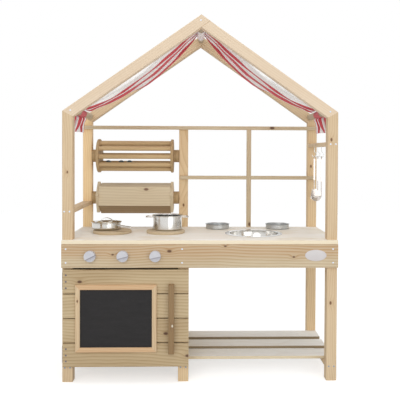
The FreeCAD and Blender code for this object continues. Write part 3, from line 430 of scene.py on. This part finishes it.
def dress_spinners():
    for seed, name in enumerate(("drum_discs", "drum_hubs", "box_hubs")):
        dress(name, wood(name + "_brown", "brown", "z", seed + 111))
    dress("drum_dowels", wood("drum_dowels_brown", "dowel", "x", 116, ring_gap=4 * MM))
    dress("box_ends", wood("box_ends_pine", "light", "z", 117))
    low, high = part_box("box_panels")
    knot = (low.lerp(high, 0.66).x, low.y + 12 * MM, high.z - 24 * MM, 6 * MM)
    light = wood("box_panels_pine", "light", "x", 118, [knot], ring_gap=12 * MM)
    # The panel faces that point down take a darker copy of the wood: painted shade, and partly darker
    # wood.
    dark = wood("box_panels_painted_shade", "shade", "x", 119)
    dress("box_panels", light, dark, takes_second=lambda face: face.normal.z < -0.5)


# Metal, chalkboard and knobs

BRUSH_WAVES = 900
STROKE_WAVES = 25
SMEAR_WAVES = 25
STEEL_SHADE = 0.72

# Each knob's turn in degrees, how far its step lies from its middle, and the painted shadow line at its
# foot.
KNOB_TURNS = (27, 15, 12)
KNOB_STEP = 5 * MM
KNOB_SHADOW_LINE = 1.6 * MM


def steel(name, colour, rough, axis=None):
    """Sheet metal, brushed upwards, or with fine rings where the upright axis it was turned on is
    given."""
    s = Shader(name)
    x, y, z = s.place()
    if axis:
        x = x - axis.x
        y = y - axis.y
        lines = s.noise(((x * x + y * y) ** 0.5, z, 0), BRUSH_WAVES, detail=1)
    else:
        lines = s.noise((x, y, z), (BRUSH_WAVES, BRUSH_WAVES, STROKE_WAVES), detail=1)
    smear = s.noise((x, y, z), SMEAR_WAVES, detail=3)
    tint = (smear - 0.5) * 0.5 + (lines - 0.5) * 0.35 + 0.5
    low = tuple(v * STEEL_SHADE for v in colour[:3]) + (1,)
    return s.set(Base_Color=s.mix(tint.clamped(), low, colour), Metallic=1,
                 Roughness=(lines - 0.5) * 0.12 + (smear - 0.5) * 0.12 + rough,
                 Normal=s.bump(lines, 0.12, 0.1 * MM))


def dress_metal():
    for name in ("saucepan", "frying_pan", "pan_lid", "sink_bowl"):
        axis = centre_of("pan_lid" if name == "frying_pan" else name)
        dress(name, steel(name + "_steel", srgb(226, 224, 220), 0.16, axis))
    for name in ("left_dish", "right_dish"):
        dress(name, steel(name + "_aluminium", srgb(206, 208, 208), 0.34, centre_of(name)))
    for name in ("far_turner", "middle_turner", "ladle"):
        dress(name, steel(name + "_steel", srgb(214, 206, 200), 0.22))
    dress("utensil_hooks", steel("hook_white_metal", srgb(232, 234, 232), 0.3))
    for name in ("hinge_post_leaves", "hinge_door_leaves", "spinner_pins"):
        dress(name, steel(name + "_zinc", srgb(170, 170, 172), 0.35))
    s = Shader("bell_dark_metal")
    speck = s.noise(s.place(), 180, detail=3)
    dark = s.mix(speck.above(0.5, 0.4), srgb(58, 68, 76), srgb(104, 118, 124))
    dress("drum_bells", s.set(Base_Color=dark, Metallic=0.9, Roughness=(speck - 0.5) * 0.2 + 0.3))


def dress_chalkboard():
    s = Shader("chalkboard_black")
    here = s.place()
    dust = s.noise(here, (18, 18, 60), detail=4, roughness=0.65)
    grit = s.noise(here, 900, detail=1)
    black = s.mix(dust.above(0.55, 0.5) * 0.5, srgb(24, 22, 23), srgb(42, 40, 41))
    dress("chalkboard", s.set(Base_Color=black, Roughness=(grit - 0.5) * 0.2 + 0.82,
                              Normal=s.bump(grit, 0.3, 0.1 * MM)))


def dress_knobs():
    """Grey satin knobs, with painted shade below the step and a painted shadow line at its foot."""
    for number, turn in enumerate(KNOB_TURNS, 1):
        node = f"knob_{number}"
        middle = centre_of(node)
        s = Shader(f"knob_grey_{number}")
        here = s.place()
        grain = s.noise(here, 1400, detail=1)
        cloud = s.noise(here, 60)
        tilt = math.radians(turn)
        step = (here[2] - middle.z) * math.cos(tilt) - (here[0] - middle.x) * math.sin(tilt)
        # A painted shadow line at the foot of the step, and painted shade below it.
        step_shadow = 1 - (step + KNOB_STEP).size().above(KNOB_SHADOW_LINE, 2 * MM)
        below = 1 - step.above(-KNOB_STEP, 1 * MM)
        grey = s.mix(cloud, srgb(198, 198, 204), srgb(216, 216, 222))
        grey = s.mix(below * 0.3, grey, srgb(178, 176, 184))
        grey = s.mix(step_shadow * 0.8, grey, srgb(132, 128, 138))
        dress(node, s.set(Base_Color=grey, Roughness=(grain - 0.5) * 0.1 + 0.42,
                          Normal=s.bump(grain, 0.08, 0.05 * MM)))


dress_frame()
dress_worktop_and_shelf()
dress_cupboard()
dress_board_frame()
dress_spinners()
dress_metal()
dress_chalkboard()
dress_knobs()


# New pieces

def new_object(name, data):
    item = bpy.data.objects.new(name, data)
    bpy.context.scene.collection.objects.link(item)
    return item


def make_smooth(mesh):
    for face in mesh.polygons:
        face.use_smooth = True


def finish_piece(piece, body):
    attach(piece, body)


def mesh_piece(name, vertices, faces, material):
    mesh = bpy.data.meshes.new(name)
    mesh.from_pydata(vertices, [], faces)
    mesh.materials.append(material)
    return new_object(name, mesh)


# Screws, with their places in millimetres

APRON_SCREWS_X = (-508, -70, 505)
APRON_SCREWS_Z = (510, 458)
LEFT_RAIL_SCREWS = ((-517, 650), (-497, 650))
RIGHT_RAIL_SCREWS = ((496, 910), (516, 910))
ROOF_SCREWS = ((-494, 1034), (494, 1034), (-1.4, 1377.7))
LEG_SCREWS_X = (-505, -65, 505)
LEG_SCREWS_APART = 20
LEG_SCREWS_Z = 55
HINGE_SCREWS_X = -507
HINGE_SCREWS_Z = (412, 387.4, 362.8, 132.2, 108.2, 85.8)


def heads_tree(name, material):
    """A node tree that puts a round domed head on each point of a mesh, facing the front."""
    group = bpy.data.node_groups.new(name, "GeometryNodeTree")
    group.interface.new_socket("Points", in_out="INPUT", socket_type="NodeSocketGeometry")
    group.interface.new_socket("Radius", in_out="INPUT", socket_type="NodeSocketFloat")
    group.interface.new_socket("Height", in_out="INPUT", socket_type="NodeSocketFloat")
    group.interface.new_socket("Heads", in_out="OUTPUT", socket_type="NodeSocketGeometry")
    tree = Tree(group)
    points, radius, height = tree.outputs("NodeGroupInput", {}, ("Points", "Radius", "Height"))
    ball = tree.node("GeometryNodeMeshUVSphere", {}, {"Segments": 20, "Rings": 10, "Radius": 1})
    size = tree.node("ShaderNodeCombineXYZ", {}, {"X": radius, "Y": height, "Z": radius})
    placed = tree.node("GeometryNodeInstanceOnPoints", {},
                       {"Points": points, "Instance": ball, "Scale": size})
    real = tree.node("GeometryNodeRealizeInstances", {}, {"Geometry": placed})
    painted = tree.node("GeometryNodeSetMaterial", {}, {"Geometry": real, "Material": material})
    end = group.nodes.new("NodeGroupOutput")
    tree.feed(end.inputs["Heads"], painted)
    return group


def heads(name, places, material, body, radius, height):
    """Screw heads at places in millimetres, as one plain mesh."""
    points = bpy.data.meshes.new(name + "_points")
    points.from_pydata([Vector(place) * MM for place in places], [], [])
    seeds = new_object(name + "_points", points)
    change = seeds.modifiers.new("heads", "NODES")
    change.node_group = heads_tree(name + "_heads", material)
    values = {"Radius": radius, "Height": height}
    for item in change.node_group.interface.items_tree:
        if item.name in values:
            change[item.identifier] = values[item.name]
    ready = seeds.evaluated_get(bpy.context.evaluated_depsgraph_get())
    mesh = bpy.data.meshes.new_from_object(ready)
    bpy.data.objects.remove(seeds)
    mesh.name = name
    make_smooth(mesh)
    finish_piece(new_object(name, mesh), body)


def screw_metal(name, light, dark):
    s = Shader(name)
    cloud = s.noise(s.place(), 300)
    return s.set(Base_Color=s.mix(cloud, dark, light), Metallic=0.5,
                 Roughness=(cloud - 0.5) * 0.2 + 0.4)


def screws():
    bright = screw_metal("screw_bright", srgb(232, 238, 248), srgb(196, 206, 222))
    blue = screw_metal("screw_blue", srgb(176, 188, 204), srgb(112, 122, 138))
    dark = screw_metal("screw_dark", srgb(150, 146, 150), srgb(66, 56, 58))
    face = FRONT_FACE / MM
    post = POST_FACE / MM
    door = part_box("door_boards")[0].y / MM
    frame_places = [(x, face, z) for x in APRON_SCREWS_X for z in APRON_SCREWS_Z]
    frame_places += [(x, post, z) for x, z in LEFT_RAIL_SCREWS + RIGHT_RAIL_SCREWS + ROOF_SCREWS]
    heads("frame_screws", frame_places, bright, "frame", radius=3.4 * MM, height=1.2 * MM)
    leg_places = [(x + side * LEG_SCREWS_APART / 2, post, LEG_SCREWS_Z)
                  for x in LEG_SCREWS_X for side in (-1, 1)]
    heads("leg_screws", leg_places, blue, "frame", radius=3.2 * MM, height=1.0 * MM)
    door_places = [(HINGE_SCREWS_X, door, z) for z in HINGE_SCREWS_Z]
    heads("door_screws", door_places, dark, "door", radius=3.6 * MM, height=1.8 * MM)


# The bare oval plate on the apron

PLATE_X = 438.8 * MM
PLATE_Z = 486 * MM
PLATE_HALF_WIDTH = 41 * MM
PLATE_HALF_HEIGHT = 21.5 * MM
PLATE_THICKNESS = 1.4 * MM
PLATE_STEPS = 64
# The rounded rim: shares of the outline, and how far each stands off the apron.
PLATE_RIM = ((1, 0), (1, 0.8 * MM), (0.985, 1.2 * MM), (0.95, PLATE_THICKNESS))


def oval_plate():
    vertices = []
    faces = []
    for share, rise in PLATE_RIM:
        for k in range(PLATE_STEPS):
            angle = 2 * math.pi * k / PLATE_STEPS
            vertices.append((PLATE_X + PLATE_HALF_WIDTH * share * math.cos(angle),
                             FRONT_FACE - rise,
                             PLATE_Z + PLATE_HALF_HEIGHT * share * math.sin(angle)))
    middle = len(vertices)
    vertices.append((PLATE_X, FRONT_FACE - PLATE_THICKNESS, PLATE_Z))
    for k in range(PLATE_STEPS):
        after = (k + 1) % PLATE_STEPS
        for ring in range(len(PLATE_RIM) - 1):
            outer = ring * PLATE_STEPS
            inner = outer + PLATE_STEPS
            faces.append((outer + k, outer + after, inner + after, inner + k))
        faces.append((inner + k, inner + after, middle))
    s = Shader("plate_white")
    here = s.place()
    cloud = s.noise(here, 40)
    grain = s.noise(here, 1200, detail=1)
    white = s.set(Base_Color=s.mix(cloud, srgb(206, 200, 200), srgb(220, 216, 215)),
                  Roughness=(grain - 0.5) * 0.1 + 0.35, Normal=s.bump(grain, 0.1, 0.05 * MM))
    piece = mesh_piece("oval_plate", vertices, faces, white)
    make_smooth(piece.data)
    finish_piece(piece, "frame")


screws()
oval_plate()


# The canopy

BAR_RADIUS = 14 * MM
CLOTH_GAP = 1.4 * MM
WRAP = BAR_RADIUS + CLOTH_GAP
RIDGE_Z = centre_of("ridge_bar").z
EAVE_X = centre_of("right_eave_bar").x
EAVE_Z = centre_of("right_eave_bar").z
CLOTH_WIDTH = 300 * MM
CLOTH_COLUMNS = 210
STRIPE_COUNT = 7
ANCHOR_SEAM = 3
SAG = 46 * MM
FLAP_LENGTH = 78 * MM
RIDGE_ROWS = 5
SLOPE_ROWS = 90
EAVE_ROWS = 6
FLAP_ROWS = 20

# The share of a slope, and the drop below the eave bar, over which the cloth leaves a bar.
SETTLE_SHARE = 0.06
SETTLE_DROP = 16 * MM

# The near edge lies folded back on the cloth: where across its width it turns, over how much of
# the width, how far round, and how far it lies off the cloth, in heights of a pleat. The side that
# was up is down there, so the height is below zero.
TURN_SHARE = 0.185
TURN_WIDTH = 0.06
TURN_ANGLE = math.radians(176)
FOLDED_LIFT = -2.2
# It is folded on this part of the slope, and the ends of the part ease in over these shares.
TURN_FROM = 0.3
TURN_FROM_EASE = 0.12
TURN_TO = 0.96
TURN_TO_EASE = 0.16

# The shares of a slope at its top and foot over which the cloth is gathered in close pleats.
GATHERED_TOP = 0.25
GATHERED_FOOT = 0.3
CLOSE_PLEATS = 19
BROAD_PLEATS = 8
LOW_WAVES = 6
HIGHEST_PLEAT = 12 * MM
HEIGHT_TRIES = 14
THREAD_GAP = 0.7 * MM

LEVEL = (0, 0, 0, 0, 0, 0, 0)
# How the seven stripes lie across a slope. Each row gives the share of the way down, the place of
# the third seam along the bars and above the plain sagging line in mm, one stripe's length across
# in mm, and each stripe's tilt in degrees, nearest stripe first.
SLOPE_FOLDS = [
    (0, 18, 0, 23.5, LEVEL),
    (0.08, 13, 9, 26, (-8, -14, -8, -6, 5, -14, -18)),
    (0.15, 8, 9, 29, (-8, -14, -12, -4, 5, -5, -36)),
    (0.22, 3, 8, 32, (-8, -14, -16, -8, 12, -30, 0)),
    (0.3, -2, 8, 35, (-4, -14, -10, -20, 12, -20, 0)),
    (0.38, -8, 7, 38, (10, -18, 6, -26, 5, -8, -4)),
    (0.5, -15, 3, 41, (10, -10, 7, -18, 5, -13, 5)),
    (0.62, -18, -4, 36, (10, -5, -8, -10, 2, 14, 10)),
    (0.74, -21, -3, 29, (8, -26, 6, -10, -6, 14, 10)),
    (0.86, -23, -7, 23, (6, -44, 0, 5, -15, 14, 10)),
    (0.94, -31, -8, 19, (8, -20, -12, -4, -15, 14, 10)),
    (1, -38, 0, 15.6, LEVEL),
]
# The same for an end that hangs from an eave bar: the drop in mm comes first, and places and tilts
# are measured outwards from the bar.
FLAP_FOLDS = [
    (0, -38, 0, 15.6, LEVEL),
    (10, -38, 0, 16, (0, -8, 0, 6, -6, 0, 4)),
    (18, -38, -18, 16.6, (0, -40, -20, 10, -24, -4, 10)),
    (36, -38, -15, 18.5, (0, -40, -15, 10, -16, -2, 10)),
    (56, -38, -7, 20.5, (0, -18, -10, 8, -22, -4, 10)),
    (78, -39, 4, 23, (0, 6, 4, -44, 0, -6, 10)),
]


def blend(low, high, share):
    return low + (high - low) * share


def ease(value):
    """A smooth step from 0 to 1."""
    value = min(max(value, 0), 1)
    return value * value * (3 - 2 * value)


def smooth_between(places, values, place):
    """A value on a smooth curve through the values at some places."""
    if place <= places[0]:
        return values[0]
    if place >= places[-1]:
        return values[-1]
    i = next(k for k in range(len(places) - 1) if place <= places[k + 1])
    gap = places[i + 1] - places[i]
    share = (place - places[i]) / gap

    def slope(k):
        if k in (0, len(places) - 1):
            return 0
        return (values[k + 1] - values[k - 1]) / (places[k + 1] - places[k - 1])

    start = 2 * share ** 3 - 3 * share ** 2 + 1
    leaving = share ** 3 - 2 * share ** 2 + share
    end = -2 * share ** 3 + 3 * share ** 2
    arriving = share ** 3 - share ** 2
    return (start * values[i] + leaving * gap * slope(i) + end * values[i + 1]
            + arriving * gap * slope(i + 1))


def fold_row(table, place):
    """The seam's place, its rise, the stripe's length and the tilts at a place between rows."""
    places = [row[0] for row in table]
    columns = zip(*[(*row[1:4], *row[4]) for row in table])
    seam, rise, length, *tilts = [smooth_between(places, column, place) for column in columns]
    return seam * MM, rise * MM, length * MM, [math.radians(tilt) for tilt in tilts]


def cloth_path():
    """Rows down one slope, from over the ridge bar to the hanging end: (x, z, out_x, out_z, table,
    place, outside), where the cloth rises along out, and stays outside a bar where outside is 1."""
    rows = []
    for k in range(RIDGE_ROWS):
        angle = ROOF_PITCH * k / RIDGE_ROWS
        rows.append((WRAP * math.sin(angle), RIDGE_Z + WRAP * math.cos(angle), math.sin(angle),
                     math.cos(angle), SLOPE_FOLDS, 0, 1))
    start_x = WRAP * math.sin(ROOF_PITCH)
    start_z = RIDGE_Z + WRAP * math.cos(ROOF_PITCH)
    end_z = EAVE_Z + WRAP
    for k in range(SLOPE_ROWS):
        share = k / SLOPE_ROWS
        x = blend(start_x, EAVE_X, share)
        z = blend(start_z, end_z, share) - SAG * 4 * share * (1 - share)
        near_ridge = max(0, 1 - share / SETTLE_SHARE)
        near_eave = 1 - (1 - share) / SETTLE_SHARE
        lean = ROOF_PITCH * near_ridge
        rows.append((x, z, math.sin(lean), math.cos(lean), SLOPE_FOLDS, share,
                     max(near_ridge, near_eave)))
    for k in range(EAVE_ROWS + 1):
        angle = math.radians(90) * (1 - k / EAVE_ROWS)
        rows.append((EAVE_X + WRAP * math.cos(angle), EAVE_Z + WRAP * math.sin(angle),
                     math.cos(angle), math.sin(angle), FLAP_FOLDS, 0, 1))
    for k in range(1, FLAP_ROWS + 1):
        drop = FLAP_LENGTH * k / FLAP_ROWS
        outside = max(0, 1 - drop / SETTLE_DROP)
        rows.append((EAVE_X + WRAP, EAVE_Z - drop, 1, 0, FLAP_FOLDS, drop / MM, outside))
    return rows


def tilt_at(tilts, across):
    """The cloth's tilt at a share of its width, easing from one stripe to the next."""
    place = across * STRIPE_COUNT - 0.5
    low = min(max(int(math.floor(place)), 0), STRIPE_COUNT - 2)
    return blend(tilts[low], tilts[low + 1], ease(place - low))


def row_outline(seam, rise, length, tilts, turned):
    """(along, up), the tilt and how far it is folded back at each column, laid out both ways from
    the anchor seam. Where turned is 1, the near edge lies folded back on the cloth."""
    step = length * STRIPE_COUNT / CLOTH_COLUMNS
    middle = round(CLOTH_COLUMNS * ANCHOR_SEAM / STRIPE_COUNT)
    bends = []
    folded = []
    for k in range(CLOTH_COLUMNS + 1):
        across = k / CLOTH_COLUMNS
        folded.append(turned * ease((TURN_SHARE - across) / TURN_WIDTH + 0.5))
        back = TURN_ANGLE * folded[-1]
        bends.append(blend(tilt_at(tilts, across), tilt_at(tilts, TURN_SHARE), min(back, 1)) - back)
    places = [None] * (CLOTH_COLUMNS + 1)
    places[middle] = (seam, rise)
    for way, edge in ((1, CLOTH_COLUMNS), (-1, 0)):
        for k in range(middle, edge, way):
            bend = (bends[k] + bends[k + way]) / 2
            along, up = places[k]
            places[k + way] = (along + way * step * math.cos(bend), up + way * step * math.sin(bend))
    return places, bends, folded


def pleat_shape(across, gathered):
    """Close pleats where the cloth is gathered, and a few low waves where it isn't."""
    turn = 2 * math.pi
    close = math.sin(turn * (CLOSE_PLEATS * across + 0.2 * math.sin(2 * turn * across)))
    close += 0.3 * math.sin(turn * (BROAD_PLEATS * across + 0.2))
    wide = math.sin(turn * (LOW_WAVES * across + 0.15 * math.sin(turn * across)))
    return blend(wide, close, gathered)


def pleated(places, bends, shape):
    """Raises pleats on a row until it is as long as the flat cloth is wide."""
    def raised(height):
        return [(along - math.sin(bend) * height * fold, up + math.cos(bend) * height * fold)
                for (along, up), bend, fold in zip(places, bends, shape)]

    low = 0
    high = HIGHEST_PLEAT
    for _ in range(HEIGHT_TRIES):
        middle = (low + high) / 2
        row = raised(middle)
        if sum(math.dist(a, b) for a, b in zip(row, row[1:])) < CLOTH_WIDTH:
            low = middle
        else:
            high = middle
    return raised(low)


def canopy_rows():
    """Rows of (place, uv) down the right-hand slope."""
    rows = []
    travelled = 0
    before = None
    for x, z, out_x, out_z, table, place, outside in cloth_path():
        seam, rise, length, tilts = fold_row(table, place)
        gathered = 1
        turned = 0
        if table is SLOPE_FOLDS:
            gathered = max(1 - ease(place / GATHERED_TOP), 1 - ease((1 - place) / GATHERED_FOOT))
            turned = ease((place - TURN_FROM) / TURN_FROM_EASE) * ease((TURN_TO - place) / TURN_TO_EASE)
        places, bends, folded = row_outline(seam, rise, length, tilts, turned)
        shape = [pleat_shape(k / CLOTH_COLUMNS, gathered) for k in range(CLOTH_COLUMNS + 1)]
        lowest = min(shape) * outside
        shape = [blend(fold - lowest, FOLDED_LIFT, back) for fold, back in zip(shape, folded)]
        places = pleated(places, bends, shape)
        here = (x + out_x * rise, z + out_z * rise)
        if before:
            travelled += math.dist(here, before)
        before = here
        rows.append([((x + out_x * up, y, z + out_z * up), (k / CLOTH_COLUMNS * CLOTH_WIDTH, travelled))
                     for k, (y, up) in enumerate(places)])
    return rows


def cloth_material(name, sleeve_red=None):
    """Cotton with red and white stripes along it. A sleeve has one colour, from white to red."""
    s = Shader(name)
    across, along = s.uv()
    if sleeve_red is None:
        stripe = (across * (STRIPE_COUNT / CLOTH_WIDTH)).floor()
        red = 1 - (stripe * 0.5).fraction() * 2
    else:
        red = sleeve_red
    threads = ((across * 2 * math.pi / THREAD_GAP).sine() * 0.5
               + (along * 2 * math.pi / THREAD_GAP).sine() * 0.5)
    cloud = s.noise(s.place(), 30, detail=3)
    fade = s.mix((cloud - 0.2).clamped(), srgb(222, 104, 112), srgb(206, 84, 94))
    white = s.mix((cloud - 0.4).clamped(), srgb(255, 255, 255), srgb(246, 242, 241))
    return s.set(Base_Color=s.mix(red, white, fade), Roughness=(cloud - 0.5) * 0.1 + 0.85,
                 Sheen_Weight=0.2, Specular_IOR_Level=0.2, Normal=s.bump(threads, 0.25, 0.1 * MM))


def grid_piece(name, rows, material):
    """A smooth sheet from rows of (place, uv)."""
    width = len(rows[0])
    vertices = [place for row in rows for place, _ in row]
    faces = [(r * width + c, r * width + c + 1, (r + 1) * width + c + 1, (r + 1) * width + c)
             for r in range(len(rows) - 1) for c in range(width - 1)]
    piece = mesh_piece(name, vertices, faces, material)
    layer = piece.data.uv_layers.new(name="flat")
    flat = [uv for row in rows for _, uv in row]
    for loop in piece.data.loops:
        layer.data[loop.index].uv = flat[loop.vertex_index]
    make_smooth(piece.data)
    return piece


def canopy():
    right = canopy_rows()
    left = [[((-x, y, z), (u, -along)) for (x, y, z), (u, along) in row] for row in right]
    rows = left[:0:-1] + right
    piece = grid_piece("canopy_cloth", rows, cloth_material("striped_cotton"))
    length = rows[-1][0][1][1] - rows[0][0][1][1]
    finish_piece(piece, "frame")
    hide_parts("canopy")


# The gathered sleeves under the canopy

SLEEVE_COLUMNS = 60
SLEEVE_ROWS = 36
SLEEVE_PLEATS = 8
SLEEVE_PLEAT_HEIGHT = 2.5 * MM
SLEEVE_GAP = 0.5 * MM
SLEEVE_WEAVE = 2


def sleeve(name, bar, near, far, red):
    """A tube of cloth round a bar, pleated below it, between two places along it."""
    middle = centre_of(bar)
    rows = []
    for r in range(SLEEVE_ROWS + 1):
        angle = 2 * math.pi * r / SLEEVE_ROWS
        below = 0.5 - 0.5 * math.sin(angle)
        row = []
        for c in range(SLEEVE_COLUMNS + 1):
            share = c / SLEEVE_COLUMNS
            pleat = 0.5 + 0.5 * math.sin(2 * math.pi * SLEEVE_PLEATS * share + 1.5 * math.sin(angle))
            radius = BAR_RADIUS + SLEEVE_GAP + pleat * below * SLEEVE_PLEAT_HEIGHT
            place = (middle.x + radius * math.cos(angle), blend(near, far, share),
                     middle.z + radius * math.sin(angle))
            row.append((place, (share * SLEEVE_WEAVE * (far - near), radius * angle)))
        rows.append(row)
    piece = grid_piece(name, rows, cloth_material(name + "_cotton", red))
    finish_piece(piece, "frame")


canopy()
sleeve("ridge_sleeve", "ridge_bar", -50 * MM, 108 * MM, 0.04)
sleeve("left_eave_sleeve", "left_eave_bar", -83 * MM, 22 * MM, 0.95)
sleeve("right_eave_sleeve", "right_eave_bar", -83 * MM, 22 * MM, 0.95)


# Camera, light and floor

CAMERA_PLACE = Vector((-12.0, -2465.1, 873.5)) * MM
CAMERA_YAW = -0.026
CAMERA_PITCH = 0.018
CAMERA_ROLL = -0.004
FOCAL_PIXELS = 588.24
PHOTO_PIXELS = 400
AXIS_PIXEL = (213.0, 163.8)
SENSOR = 36

# Each lamp's place, size and power.
LAMPS = {
    "key": ((-1.2, -3.4, 2.2), 2.4, 30),
    "fill": ((1.6, -3.2, 0.8), 2.4, 22),
    "top": ((0.2, -0.2, 3.8), 2.8, 34),
}
LAMP_TARGET = Vector((0, 0, 0.65))
WORLD_LIGHT = 0.55
FLOOR_SIZE = 12
FLOOR_GLOW = 0.55


def camera():
    data = bpy.data.cameras.new("photo_camera")
    data.sensor_width = SENSOR
    data.lens = FOCAL_PIXELS / PHOTO_PIXELS * SENSOR
    data.shift_x = (PHOTO_PIXELS / 2 - AXIS_PIXEL[0]) / PHOTO_PIXELS
    data.shift_y = (AXIS_PIXEL[1] - PHOTO_PIXELS / 2) / PHOTO_PIXELS
    data.clip_end = 50
    item = new_object("photo_camera", data)
    turn = Matrix.Rotation(CAMERA_YAW, 3, "Z") @ Matrix.Rotation(-CAMERA_PITCH, 3, "X")
    turn = turn @ Matrix.Rotation(CAMERA_ROLL, 3, "Y")
    level = Matrix(((1, 0, 0), (0, 0, -1), (0, 1, 0)))
    item.matrix_world = Matrix.Translation(CAMERA_PLACE) @ (turn @ level).to_4x4()
    bpy.context.scene.camera = item


def lamp(name, place, size, power):
    data = bpy.data.lights.new(name, "AREA")
    data.shape = "DISK"
    data.size = size
    data.energy = power
    item = new_object(name, data)
    item.location = place
    item.rotation_euler = (LAMP_TARGET - Vector(place)).to_track_quat("-Z", "Y").to_euler()


def seen_directly(tree):
    """1 for rays from the camera and for those that a reflection or glass sends on, otherwise 0."""
    rays = ("Is Camera Ray", "Is Glossy Ray", "Is Transmission Ray")
    from_camera, from_gloss, from_glass = tree.outputs("ShaderNodeLightPath", {}, rays)
    return from_camera.larger(from_gloss).larger(from_glass)


def studio():
    world = bpy.data.worlds.new("studio")
    bpy.context.scene.world = world
    world.use_nodes = True
    tree = Tree(world.node_tree)
    background = world.node_tree.nodes["Background"]
    level = tree.node("ShaderNodeMapRange", {},
                      {"Value": seen_directly(tree), "To Min": WORLD_LIGHT, "To Max": 1})
    tree.feed(background.inputs["Color"], (1, 1, 1, 1))
    tree.feed(background.inputs["Strength"], level)
    for name, (place, size, power) in LAMPS.items():
        lamp(name, place, size, power)
    bpy.context.scene.view_settings.view_transform = "Standard"


def floor():
    half = FLOOR_SIZE / 2
    corners = [(-half, -half, 0), (half, -half, 0), (half, half, 0), (-half, half, 0)]
    s = Shader("floor_white")
    white = s.set(Base_Color=(0.8, 0.8, 0.8, 1), Roughness=0.9, Specular_IOR_Level=0.1,
                  Emission_Color=seen_directly(s), Emission_Strength=FLOOR_GLOW)
    mesh_piece("floor", corners, [(0, 1, 2, 3)], white)


camera()
studio()
floor()
